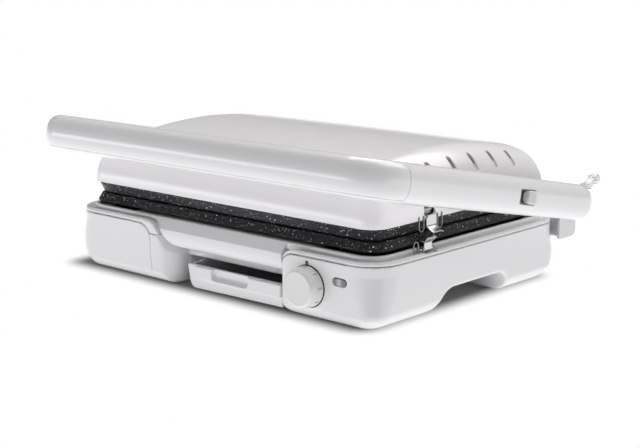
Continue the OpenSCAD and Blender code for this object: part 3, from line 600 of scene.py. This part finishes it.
def cover_field(x, y, z):
    far_in = inset(x, y)
    lip = both(outline(far_in, z, lip_profile), pod_limit(x, y, z), 1.6)
    ring = either(lip, outline(far_in, z, rim_profile), 0.4)
    wrap = both(both(-panel(x, z, 0.35), pod_limit(x, y, z), 0.3),
                both(between(y, -140, notch_y - 3), between(z, wrap_low, 54)))
    wrap = both(wrap, both(tub(x, y, z), between(x, -100, 100)), 1.0)
    ring = either(ring, wrap, 0.5)
    for side in (-1, 1):
        pocket = both(between(x * side, 175, 184), between(y, clip_y - 7.4, clip_y + 7.4))
        ring = without(ring, both(pocket, 55.5 - z), 0.3)
    return ring


cover = moulded("cover_moulding", cover_field, (-185, -131, 43.5), (185, 131, 59.5), 1.3, 0.45)
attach(cover, "base")
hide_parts("base_cover")
finished(cover, casing)


def belly_field(x, y, z):
    form = outline(y, z, belly_profile) + 0 * x
    body = both(both(form, beyond_dip(x, z, -0.6, 200), 3.0), x - pod_right_x + 0.5, 1.0)
    rim = both(both(form, -122.2 - y, 0.5), both(between(x, -110, 110), 56.5 - z))
    return both(np.minimum(body, rim), y + 104)


belly = moulded("cover_front", belly_field, (-111, -129, 30), (111, -104, 60), 1.3, 0.5)
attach(belly, "base")
finished(belly, casing)

# ---- lower plate --------------------------------------------------------------------
# Cast aluminium with a black non-stick coating full of pale granite specks. It hangs in
# the cover's well by its sloping flange, and two spring clips hold it down.

plate_z, plate_low, recess = 69.6, 62.0, 6.4
plate_half = (175, 120)
pan_half = (158, 103)
plate_slope = 5
rib_pitch, rib_count = 18.75, 7
drain_x, drain_y = 20, -92


def boxed(x, y, half, r):
    return both(np.abs(x) - half[0], np.abs(y) - half[1], r)


def ribs(x, y, up, floor):
    """Tapered ribs that stand on a plate's floor; up is the height towards the food."""
    middle = rib_pitch * np.clip(np.round(x / rib_pitch), -rib_count, rib_count)
    width = 2.5 - np.clip(up - floor, 0, 3) * 0.35
    one = both(np.abs(x - middle) - width, up - floor - 3, 0.8)
    return both(both(one, between(y, -87, 95), 1.5), floor - 1 - up)


def plate_field(x, y, up, low, far_half, pan_far):
    """A plate, drawn with up running from its back to the joint between the plates."""
    lean = plate_slope * np.clip((up - low) / (plate_z - low), 0, 1) ** 0.8
    flange = both(boxed(x, y, far_half, 20) + lean, between(up, low, plate_z), 1.4)
    body = both(boxed(x, y, (161, 106), 14), between(up, pan_far, low + 2), 1)
    body = either(flange, body, 1.5)
    floor = plate_z - recess
    body = without(body, both(boxed(x, y, pan_half, 12), floor - up, 2.0), 1.8)
    body = either(body, ribs(x, y, up, floor), 1.2)
    return without(body, both(boxed(x, y, (157, 91), 8), between(up, pan_far - 3, floor - 4)))


def lower_plate_field(x, y, z):
    body = plate_field(x, y, z, plate_low, plate_half, 52)
    hole = np.hypot(x - drain_x, y - drain_y)
    dish = 1.6 * np.exp(-(np.maximum(hole - 3, 0) / 5) ** 2)
    return without(body + dish * (z > plate_z - recess - 1) * (hole < 16), hole - 4 + 0 * z, 0.8)


def granite(name):
    """Black coating: large sparse specks, fine dense ones, and the cast surface's tooth."""
    made, tree, shader = standard(name, (0.006, 0.006, 0.007, 1), 0.38, Specular_IOR_Level=0.28)
    place = node(tree, "ShaderNodeTexCoord", out="Object")
    total = None
    for scale, size, level in ((330, 0.22, 0.85), (560, 0.24, 0.60), (1000, 0.26, 0.30)):
        cells = {"Vector": place, "Scale": scale}
        near = node(tree, "ShaderNodeTexVoronoi", None, cells, out="Distance")
        pick = node(tree, "ShaderNodeTexVoronoi", None, cells, out="Color")
        chance = node(tree, "ShaderNodeSeparateXYZ", None, {0: pick}, out="X")
        bright = node(tree, "ShaderNodeSeparateXYZ", None, {0: pick}, out="Y")
        speck = (near < size) * (chance > 0.62) * (bright * 0.8 + 0.2) * level
        total = speck if total is None else total.maths("MAXIMUM", total, speck)
    feed(tree, shader, Base_Color=mixed(tree, total, (0.018, 0.017, 0.021, 1), (1, 1, 1, 1)),
         Roughness=noise(tree, 120, 2) * 0.18 + 0.26,
         Normal=bump(tree, noise(tree, 700, 2) + total * 0.8, 0.25, 0.0002))
    return made


coating = granite("granite_coating")
lower = moulded("lower_plate_casting", lower_plate_field, (-175, -120, 52), (175, 120, 69.6), 1.4, 0.4)
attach(lower, "base")
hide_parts("lower_plate")
finished(lower, coating)

# ---- upper plate --------------------------------------------------------------------
# The same casting turned over: it fills the lid's underside, and its flange tapers in
# towards the joint, so that the two plates meet at a narrow waist.

upper_z, upper_far, pan_top = 70.1, 79.8, 92


def upper_plate_field(x, y, z):
    joint_up = plate_z - (z - upper_z)
    return plate_field(x, y, joint_up, plate_z - (upper_far - upper_z), (173, 119),
                       plate_z - (pan_top - upper_z))


upper = moulded("upper_plate_casting", upper_plate_field, (-173, -119, 70.1), (173, 119, 92), 1.4, 0.4)
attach(upper, "lid")
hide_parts("upper_plate")
finished(upper, coating)

# ---- lid cover ----------------------------------------------------------------------
# The domed lid: one white moulding, clipped and screwed to the dark frame inside. Five
# scooped vents open over each shoulder, and a slot lets each plate clip out.

lid_w, lid_d, lid_z, lid_top = 348, 240, 80.0, 132.0
lid_wall, lid_corner = 2.8, 18
soft_shoulder, lid_tail, lid_rise_x, lid_rise_y = 35, 6, 1.0, 16
crown_x, crown_y, crown_power = 174, 123, 1.9
vent_first, vent_pitch, vent_count, vent_half = -38.5, 28.3, 5, 2.0
vent_low, vent_open, vent_high = 28, 40, 57     # degrees round the shoulder
vent_drop, vent_follow = 3.2, 0.65      # how the row of vents lies below the crown
scoop_deep, vent_through = 1.7, 7
upper_clip_y, upper_clip_x, upper_clip_z = -51, 169, 87.5
hinge_y, hinge_z, tilt = 134, 70, math.radians(11.5)
pivot_along = 147
pivot_y = hinge_y - pivot_along * math.cos(tilt)
pivot_z = hinge_z + pivot_along * math.sin(tilt)


def lid_fall(x, y):
    """How far the crown lies below its highest point."""
    back = np.abs((y - lid_tail / 2) / crown_y)
    return lid_rise_y * back ** crown_power + lid_rise_x * (x / crown_x) ** 2


def lid_form(x, y, z, inset=0.0):
    sides = both(np.abs(x) - lid_w / 2 + inset,
                 np.abs(y - lid_tail / 2) - (lid_d + lid_tail) / 2 + inset, lid_corner - inset)
    return both(sides, z - lid_top + lid_fall(x, y) + inset, soft_shoulder - inset)


def vents(x, y, z, low=vent_low, deep=scoop_deep):
    """Slots round the shoulder from the angle low up, cut deep millimetres in."""
    nearest = np.clip(np.round((y - vent_first) / vent_pitch), 0, vent_count - 1)
    middle = vent_first + vent_pitch * nearest
    fall = lid_fall(crown_x, y)
    out, rise = np.abs(x) - (lid_w / 2 - soft_shoulder), z - (lid_top - fall - soft_shoulder)
    turn = np.degrees(np.arctan2(rise + vent_drop - vent_follow * fall, out))
    along = np.maximum(low - turn, turn - vent_high) * math.radians(1) * soft_shoulder
    slot = both(np.abs(y - middle) - vent_half, along, 1.9)
    return both(slot, soft_shoulder - deep - np.hypot(out, rise), 0.8)


def lid_field(x, y, z):
    body = both(lid_form(x, y, z), lid_z - z, 1.0)
    body = without(body, lid_form(x, y, z, lid_wall), 0.5)
    body = without(body, vents(x, y, z), 0.8)
    body = without(body, vents(x, y, z, vent_open, vent_through), 0.4)
    slot = both(between(y, upper_clip_y - 7.2, upper_clip_y + 7.2),
                between(z, upper_clip_z - 4, upper_clip_z + 5.6), 1.8)
    body = without(body, both(slot, 165 - np.abs(x)), 0.4)
    bore = both(np.hypot(y - pivot_y, z - pivot_z) - 7, 165 - np.abs(x))
    return without(body, bore, 0.4)


def lid_detail(x, y, z):
    return np.maximum(vents(x, y, z), 0)


lid = moulded("lid_moulding", lid_field, (-174, -120, 80), (174, 126, 132), 1.4, 0.35,
              lid_detail, 1.0, 0.6)
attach(lid, "lid")
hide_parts("lid_cover")
finished(lid, casing)

# ---- handle -------------------------------------------------------------------------
# A white tube of tall oval section, rounder on its outer side and bent into a U. The front
# bar with its two corners is one moulding, and each arm is an outer half and an inner cover
# screwed over a steel strap.

arm_x, reach, bend = 200, 289, 28
grip_half_t, grip_half_h = 9.5, 16
crest = 3.2                             # how far inside its middle the section is tallest
arm_front, arm_end, arm_tip = bend - reach, 15, 15.8
split_x = arm_x - 3
joint_gap, split_gap = 0.2, 0.1
slot_y, slot_half, slot_floor = -98, 12.5, 2.5
pivot_hole_r, screw_hole_r = 4.4, 1.7
arm_screws_y = (-230, -60)


def on_arms(points, move=True):
    """From the arms' own axes, level and with the hinge at 0, to the toaster's."""
    x, y, z = points.T
    turned = np.stack([x, y * math.cos(tilt) + z * math.sin(tilt),
                       -y * math.sin(tilt) + z * math.cos(tilt)], 1)
    return turned + [0, hinge_y, hinge_z] if move else turned


def tube(x, y, z):
    """The handle's oval tube along its U, with round back ends."""
    across = both(np.abs(x) - arm_x, -reach - y, bend)
    end = np.maximum(y - (arm_end - arm_tip), 0) / arm_tip
    tall = np.hypot(z / grip_half_h, end)
    away = across + crest
    share = np.where(away > 0, away / (grip_half_t + crest), away / (crest - grip_half_t))
    return ((share ** 2.2 + tall ** 2.12 + 1e-9) ** (1 / 2.16) - 1) * 10


part_z = -12.6                          # the parting line under the front bar


def bar_field(x, y, z):
    body = both(tube(x, y, z), y - arm_front + joint_gap, 0.5)
    outer = (both(np.abs(x) - arm_x, -reach - y, bend) > 1)
    return body + 0.35 * np.exp(-((z - part_z) / 0.35) ** 2) * outer


def bar_detail(x, y, z):
    return np.minimum(np.abs(z - part_z) - 0.5 + 9 * (y > -reach + 5), np.abs(y - arm_front) - 0.5)


def arm_tube(x, y, z):
    return both(tube(x, y, z), arm_front + joint_gap - y, 0.5)


def arm_plain(x, y, z):
    return both(arm_tube(x, y, z), split_x + split_gap - x, 0.4)


def arm_field(x, y, z):
    """The right-hand arm, with the slot that the lock slides in."""
    slot = both(both(between(y, slot_y - slot_half, slot_y + slot_half), np.abs(z) - 6.5, 3),
                arm_x + slot_floor - x)
    return without(arm_plain(x, y, z), slot, 0.6)


def arm_detail(x, y, z):
    return np.maximum(np.maximum(np.abs(y - slot_y) - 15, np.abs(z) - 9), arm_x + 2 - x)


def inner_field(x, y, z):
    body = both(arm_tube(x, y, z), x - split_x + split_gap, 0.4)
    for bore_y in (0, -pivot_along):
        body = without(body, np.hypot(y - bore_y, z) - pivot_hole_r + 0 * x, 0.4)
    for bore_y in arm_screws_y:
        body = without(body, np.hypot(y - bore_y, z) - screw_hole_r + 0 * x, 0.4)
    return body


def flipped(field):
    return lambda x, y, z: field(-x, y, z)


def mirrored(low, high):
    """The same box on the toaster's left."""
    return (-high[0], low[1], low[2]), (-low[0], high[1], high[2])


grip, *_ = white_plastic("grip_white", (0.87, 0.857, 0.874, 1), 0.20)
bar = moulded("handle_bar_moulding", bar_field, (-210, -299, -17), (210, -260, 17), 1.3, 0.5,
              bar_detail, 0.8, 0.6, on_arms)
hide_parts("handle_bar")
arm_span = (187, -262, -17), (210, 17, 17)
arms = [bar]
for side, sign in (("right", 1), ("left", -1)):
    for part, field, cad in (("arm", arm_field if sign > 0 else arm_plain, "arm"),
                             ("arm_inner", inner_field, "arm_cover")):
        span = arm_span if sign > 0 else mirrored(*arm_span)
        made = moulded(part + "_moulding_" + side, field if sign > 0 else flipped(field), *span,
                       1.2, 0.5, arm_detail if sign > 0 and part == "arm" else None, 0.5, 0.5, on_arms)
        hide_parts(cad + "_" + side)
        arms.append(made)
for piece in arms:
    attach(piece, "handle")
    finished(piece, grip)

# ---- drip tray ----------------------------------------------------------------------
# A white drawer: a thin tub that hangs by its side lips in the sheet-metal rails, behind a
# front plate with a raised pull panel that has a scooped grip in its upper edge.

tray_x0, tray_x1, tray_y0, tray_y1, tray_z0, tray_z1 = -34, 78, -127, 40, 4.5, 23.5


def block(x, y, z, *sides, r=0.0):
    """A box given by its low and high side on each axis, with rounded edges."""
    x0, x1, y0, y1, z0, z1 = sides
    return both(both(between(x, x0, x1), between(y, y0, y1), r), between(z, z0, z1), r)


def tray_field(x, y, z):
    front = both(outline(x, z, [(-29.5, 9), (-32.4, 24.3), (81.4, 24.3), (81.4, 4.8)]
                         + arc(-22.9, 10.2, 6.6, 270, 190, 6)), between(y, -127, -123.2), 0.9)
    pull = both(both(between(x, -20, 84), between(z, 13.6, 26), 3), between(y, -130.2, -125), 0.7)
    pull = both(both(pull, z - 24.3, 1.0), x - 81.4, 0.5)
    tub_out = both(boxed(x - 22, y + 42, (56, 82.2), 8), between(z, tray_z0, tray_z1), 0.6)
    tub_in = both(boxed(x - 22, y + 42.2, (54.1, 79.6), 6.5), tray_z0 + 1.8 - z, 2.5)
    lips = block(x, y, z, tray_x0 - 2.5, tray_x1 + 2.5, -109, tray_y1, tray_z1 - 1.8, tray_z1, r=0.5)
    body = either(without(either(tub_out, lips), tub_in, 0.4), either(front, pull, 0.7), 0.6)
    scoop = both(np.hypot(y + 131.8, (z - 20.5) * 0.9) - 5.6, between(x, 0, 44), 3.5)
    return without(body, scoop, 0.5)


tray = moulded("tray_moulding", tray_field, (-37, -130, 4), (81.5, 41, 24.5), 1.15, 0.45)
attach(tray, "tray")
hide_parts("drip_tray")
finished(tray, casing)

# ---- thermostat knob ----------------------------------------------------------------
# A turned-looking white moulding with a tapering barrel and a chamfered face. Grey heat
# marks 0 to 5 are printed round the barrel; it pushes onto the flat shaft.

knob_front, knob_back = -144.5, -130.9
knob_side = ([(0, knob_back), (16.6, knob_back), (17, knob_back - 0.6), (16.3, knob_back - 8.2),
              (15.9, knob_back - 10.2)] + arc(13.0, knob_front + 2.8, 2.8, -5, -80, 6)
             + [(12.1, knob_front + 0.12), (0, knob_front + 0.35)])


def knob_field(x, y, z):
    r = np.hypot(x - knob_x, z - knob_z)
    body = outline(r, y, knob_side)
    return without(body, both(r - 3, knob_back + 0.5 - (y + 9)), 0.1)


knob = moulded("knob_moulding", knob_field, (96, -145, 12), (131, -130.5, 47), 0.7, 0.6)
knob_plastic, *_ = white_plastic("knob_white", (0.86, 0.853, 0.845, 1), 0.20)
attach(knob, "knob")
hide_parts("thermostat_knob")
finished(knob, knob_plastic)

print_ink, ink_tree, ink_shader = standard("grey_ink", (0.16, 0.16, 0.17, 1), 0.5)
feed(ink_tree, ink_shader, Roughness=noise(ink_tree, 400, 2) * 0.2 + 0.4)
mark_y, mark_tall, mark_first, mark_step = knob_back - 4.6, 4.0, 90, 42
for mark in range(6):
    curve = bpy.data.curves.new("heat_curve_%d" % mark, "FONT")
    curve.body = str(mark)
    curve.size = mark_tall * 1.35
    curve.align_x = "CENTER"
    curve.extrude = 0.03
    lettering = bpy.data.objects.new("lettering", curve)
    bpy.context.scene.collection.objects.link(lettering)
    flat = bpy.data.meshes.new_from_object(
        lettering.evaluated_get(bpy.context.evaluated_depsgraph_get()))
    bpy.data.objects.remove(lettering)
    place = np.array([v.co for v in flat.vertices])
    turn = math.radians(mark_first - mark_step * mark) - place[:, 0] / 16.8
    along = mark_y + mark_tall / 2 - place[:, 1]
    out = np.interp(along, [knob_back - 8.2, knob_back - 0.6], [16.3, 17.0]) + 0.04 + place[:, 2]
    wrapped = np.stack([knob_x + out * np.cos(turn), along, knob_z + out * np.sin(turn)], 1)
    flat.vertices.foreach_set("co", (wrapped * 0.001).ravel())
    flat.update()
    number = bpy.data.objects.new("heat_mark_%d" % mark, flat)
    bpy.context.scene.collection.objects.link(number)
    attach(number, "knob")
    finished(number, print_ink)

# ---- lamp window --------------------------------------------------------------------
# A pill-shaped grey lens pressed in beside the knob. Two small lamps stand behind its ends.


def lens_field(x, y, z):
    round_form = both(pill(x, z), between(y, -131.5, -128.6), 0.7)
    collar = both(pill(x, z, 2), between(y, -128.5, -127.6))
    body = np.minimum(round_form, collar)
    for side in (-3.5, 3.5):
        body = without(body, both(np.hypot(x - lamp_x - side, z - lamp_z) - 2.1, -129.6 - y), 0.2)
    return body


lens = moulded("lens_moulding", lens_field, (137, -132, 33), (157, -127, 43), 0.5, 0.6)
lens_made, lens_tree, lens_shader = standard("lens_grey", (0.30, 0.295, 0.30, 1), 0.12,
                                             Coat_Weight=0.5)
where_x = node(lens_tree, "ShaderNodeSeparateXYZ", None,
               {0: node(lens_tree, "ShaderNodeTexCoord", out="Object")}, out="X") * 1000
at_end = (where_x - lamp_x)
at_end = at_end.maths("ABSOLUTE", at_end)
shade = node(lens_tree, "ShaderNodeMapRange", {"interpolation_type": "SMOOTHSTEP"},
             {0: at_end, 1: 1.2, 2: 3.4})
feed(lens_tree, lens_shader,
     Base_Color=mixed(lens_tree, shade, (0.50, 0.49, 0.50, 1), (0.20, 0.195, 0.205, 1)),
     Roughness=noise(lens_tree, 300, 2) * 0.06 + 0.10)
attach(lens, "base")
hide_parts("lamp_window")
finished(lens, lens_made)

# ---- plate clips --------------------------------------------------------------------
# Chromed spring-steel levers, two beside each plate. Each swings on a pin and its bent lip
# holds the plate's flange; the lower pair points up and the upper pair points down.

lower_clip_x, lower_clip_z = base_w / 2 - 6.2, 58.2
clip_half = 6.5


def strip(u, v, line, thick):
    return line_distance(u, v, line) - thick / 2


def clip_form(u, v, y, line, leaf, pivot, middle):
    """A bent strip whose last leg flares into a rounded leaf, rolled round its pin."""
    bent = strip(u, v, line, 1.1)
    wide = clip_half - 1.6 * np.clip((line_distance(u, v, line[:2]) < 1.2), 0, 1)
    body = both(bent, np.abs(y - middle) - wide, 0.5)
    press = strip(u, v, leaf, 1.0)
    body = either(body, both(press, np.abs(y - middle) - clip_half + 0.2, 0.5), 0.6)
    roll = np.hypot(u - pivot[0], v - pivot[1])
    body = either(body, both(roll - 2.1, np.abs(y - middle) - clip_half, 0.3), 0.4)
    return without(body, roll - 1.3 + 0 * y)


def lower_clip_field(x, y, z):
    c = lower_clip_x
    return clip_form(x, z, y, [(c + 1.4, lower_clip_z + 1), (c + 1.45, 64.4), (c - 3.4, 65.5)],
                     [(c + 1.5, 64.2), (c + 3.2, 65.6), (c + 5.2, 68.1)],
                     (c, lower_clip_z), clip_y)


def upper_clip_field(x, y, z):
    c, out = upper_clip_x, lid_w / 2 + 1.35
    return clip_form(x, z, y, [(c + 0.6, upper_clip_z - 1.9), (out, upper_clip_z - 3.9), (out, 75.0),
                               (out - 2.6, 73.5)],
                     [(out, 75.2), (out + 2.2, 73.2), (out + 6.2, 71.0)],
                     (c, upper_clip_z), upper_clip_y)


chrome, chrome_tree, chrome_shader = standard("clip_chrome_plate", (0.62, 0.61, 0.60, 1), 0.10,
                                              Metallic=1.0)
feed(chrome_tree, chrome_shader, Roughness=noise(chrome_tree, 500, 3) * 0.10 + 0.06,
     Normal=bump(chrome_tree, noise(chrome_tree, 180, 2), 0.10, 0.0003))
for level, field, span in (
        ("lower", lower_clip_field, ((174, clip_y - 7, 56), (185, clip_y + 7, 69))),
        ("upper", upper_clip_field, ((166, upper_clip_y - 7, 70), (182.5, upper_clip_y + 7, 90.5)))):
    for side, sign in (("right", 1), ("left", -1)):
        low, high = span if sign > 0 else mirrored(*span)
        made = moulded("%s_lever_%s" % (level, side), field if sign > 0 else flipped(field),
                       low, high, 0.42, 0.55)
        name = "%s_clip_%s" % (level, side)
        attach(made, name)
        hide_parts(name)
        finished(made, chrome)

# ---- lock slider --------------------------------------------------------------------
# A D-shaped grey-white button with three grip dimples, in the slot of the right-hand arm.

slider_low, slider_high = slot_y - slot_half + 9.5, slot_y + slot_half + 0.2
button_y, button_out = slot_y + 4, 11.4
dimple_pitch, dimple_out = 3, 11.8


def slider_field(x, y, z):
    form = both(between(y, slider_low, slider_high), np.abs(z) - 6.2, 2.2)
    form = both(form, np.hypot(np.maximum(slider_low + 6.5 - y, 0), z) - 6.5, 1.5)
    crown = arm_x + button_out - 0.015 * (y - button_y) ** 2 - 0.012 * z ** 2
    body = both(form, both(x - crown, arm_x + 4.6 - x), 1.1)
    for i in (-1, 0, 1):
        across = np.hypot(x - arm_x - dimple_out, y - button_y - dimple_pitch * i)
        body = without(body, np.hypot(across, np.maximum(np.abs(z) - 3, 0)) - 1.0, 0.3)
    return body


slider = moulded("slider_moulding", slider_field, (204, -110, -7), (212, -85, 7), 0.5, 0.5,
                 None, turned=on_arms)
slide_grey, slide_tree, slide_shader = standard("slider_grey", (0.72, 0.71, 0.72, 1), 0.30)
feed(slide_tree, slide_shader, Roughness=noise(slide_tree, 300, 2) * 0.12 + 0.24,
     Normal=bump(slide_tree, noise(slide_tree, 1200, 1), 0.06, 0.0001))
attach(slider, "lock")
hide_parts("lock_slider")
finished(slider, slide_grey)

# ---- stop lugs and cord hooks -------------------------------------------------------
# Clear polycarbonate: a lug on the back end of each arm, and two disc-headed hooks behind
# the base that the cord winds round.

lug_y, lug_z = 16.905, 23
hook_x, hook_z = 122, 40
lug_span = (196.5, -4, 8), (205.5, 22, 28)
hook_span = (112, 130, 30), (132, 152.5, 50)


def lug_field(x, y, z):
    line = [(-2.5, 12.5), (8, 16), (lug_y, lug_z)]
    body = line_distance(y, z, line) - 3.2
    body = either(body, np.hypot(y - lug_y, z - lug_z) - 4.2, 1.5)
    body = both(body, both(arm_tip - 0.1 - np.hypot(y - arm_end + arm_tip, z), -y - 6))
    body = both(body + 0 * x, between(np.abs(x), arm_x - 3, arm_x + 5), 1.2)
    return without(body, np.hypot(y - lug_y + 0.6, z - 22.4) - 1.6 + 0 * x, 0.5)


def hook_field(x, y, z):
    r = np.hypot(np.abs(x) - hook_x, z - hook_z)
    profile = [(0, 130.8), (5, 130.8), (4.8, 148), (8.4, 148.6), (9, 149.6), (9, 150.8), (8.3, 151.9),
               (6, 151.6), (0, 151.2)]
    return outline(r, y + 0 * r, profile) - 0.05


clear, clear_tree, clear_shader = standard("clear_plastic_made", (0.93, 0.94, 0.95, 1), 0.08,
                                           Transmission_Weight=0.55, IOR=1.45)
feed(clear_tree, clear_shader, Roughness=noise(clear_tree, 220, 2) * 0.12 + 0.04,
     Normal=bump(clear_tree, noise(clear_tree, 150, 2), 0.08, 0.0005))
for side, sign in (("right", 1), ("left", -1)):
    low, high = lug_span if sign > 0 else mirrored(*lug_span)
    lug = moulded("stop_lug_" + side, lug_field, low, high, 0.6, 0.5, None, turned=on_arms)
    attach(lug, "handle")
    low, high = hook_span if sign > 0 else mirrored(*hook_span)
    hook = moulded("cord_hook_" + side, hook_field, low, high, 0.8, 0.6)
    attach(hook, "base")
    if sign > 0:
        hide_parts("stop_lugs")
        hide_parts("cord_hooks")
    for piece in (lug, hook):
        finished(piece, clear)

# ---- pieces kept from the solids ----------------------------------------------------
# Feet, screws, pins, springs, heaters, sheet metal and wiring parts keep their exact solids.
# Their edges, except on the springs and heaters, are broken by a small bevel, and each gets its own
# metal, rubber, plastic or clay.


def metal(name, colour, rough, brushed=None, dents=0.06):
    made, tree, shader = standard(name, colour, rough, Metallic=1.0)
    grain = noise(tree, 260, 3, brushed)
    feed(tree, shader, Roughness=grain * 0.22 + (rough - 0.10),
         Base_Color=mixed(tree, noise(tree, 40, 2), tuple(c * 0.88 for c in colour[:3]) + (1,), colour),
         Normal=bump(tree, grain, dents, 0.0003))
    return made


def dull(name, colour, rough, scale=500, depth=0.15):
    made, tree, shader = standard(name, colour, rough)
    grain = noise(tree, scale, 3)
    feed(tree, shader, Roughness=grain * 0.2 + (rough - 0.1),
         Base_Color=mixed(tree, noise(tree, 60, 2), tuple(c * 0.85 for c in colour[:3]) + (1,), colour),
         Normal=bump(tree, grain, depth, 0.0003))
    return made


zinc_sheet = metal("zinc_sheet", (0.52, 0.53, 0.54, 1), 0.42, (1, 1, 6))
turned_steel = metal("turned_steel", (0.60, 0.59, 0.57, 1), 0.26)
hinge_steel = metal("hinge_steel", (0.60, 0.60, 0.62, 1), 0.22, (1, 6, 1))
heater_skin = dull("heater_skin", (0.11, 0.10, 0.09, 1), 0.55, 900)
foot_rubber = dull("foot_rubber", (0.055, 0.055, 0.055, 1), 0.75, 1400)
frame_dark = dull("frame_dark", (0.035, 0.035, 0.037, 1), 0.42, 700)
gland_grey = dull("gland_grey", (0.34, 0.34, 0.35, 1), 0.5, 800)
fired_clay = dull("fired_clay", (0.78, 0.75, 0.68, 1), 0.6, 600)
wire_steel = metal("wire_steel", (0.24, 0.24, 0.24, 1), 0.24)

lamp_amber, amber_tree, amber_shader = standard("lamp_amber", (0.55, 0.22, 0.08, 1), 0.25)
feed(amber_tree, amber_shader, Roughness=noise(amber_tree, 900, 2) * 0.2 + 0.15)

# the material and the bevel, in millimetres
finishes = {
    "arm_straps": (zinc_sheet, 0.3), "drain_chute": (zinc_sheet, 0.3), "tray_rails": (zinc_sheet, 0.2),
    "lower_reflector": (zinc_sheet, 0.2), "upper_reflector": (zinc_sheet, 0.2),
    "lock_plate": (zinc_sheet, 0.2), "thermostat": (zinc_sheet, 0.5), "knob_shaft": (turned_steel, 0.3),
    "thermal_fuse": (turned_steel, 0.2), "hinge_bracket_right": (hinge_steel, 0.5),
    "hinge_bracket_left": (hinge_steel, 0.5), "bracket_screws": (turned_steel, 0.3),
    "hinge_pins": (turned_steel, 0.4), "pivot_bolts": (turned_steel, 0.4),
    "base_screws": (turned_steel, 0.3), "lid_screws": (turned_steel, 0.3),
    "arm_screws": (turned_steel, 0.3),
    "lower_clip_pins": (turned_steel, 0.2), "upper_clip_pins": (turned_steel, 0.2),
    "lower_clip_springs": (wire_steel, 0), "upper_clip_springs": (wire_steel, 0),
    "lower_heater": (heater_skin, 0), "upper_heater": (heater_skin, 0),
    "rubber_feet": (foot_rubber, 0.6), "cord_gland": (gland_grey, 0.5), "lid_frame": (frame_dark, 0.5),
    "terminal_block": (fired_clay, 0.5), "indicator_lamps": (lamp_amber, 0.2)}
for name, (look, edge) in finishes.items():
    part = bpy.data.objects[name]
    finished(part, look)
    if edge:
        weld = part.modifiers.new("weld", "WELD")
        weld.merge_threshold = 0.00002
        broken = part.modifiers.new("broken_edges", "BEVEL")
        broken.width = edge * 0.001
        broken.segments = 2
        broken.limit_method = "ANGLE"
        broken.angle_limit = math.radians(40)
        broken.harden_normals = False
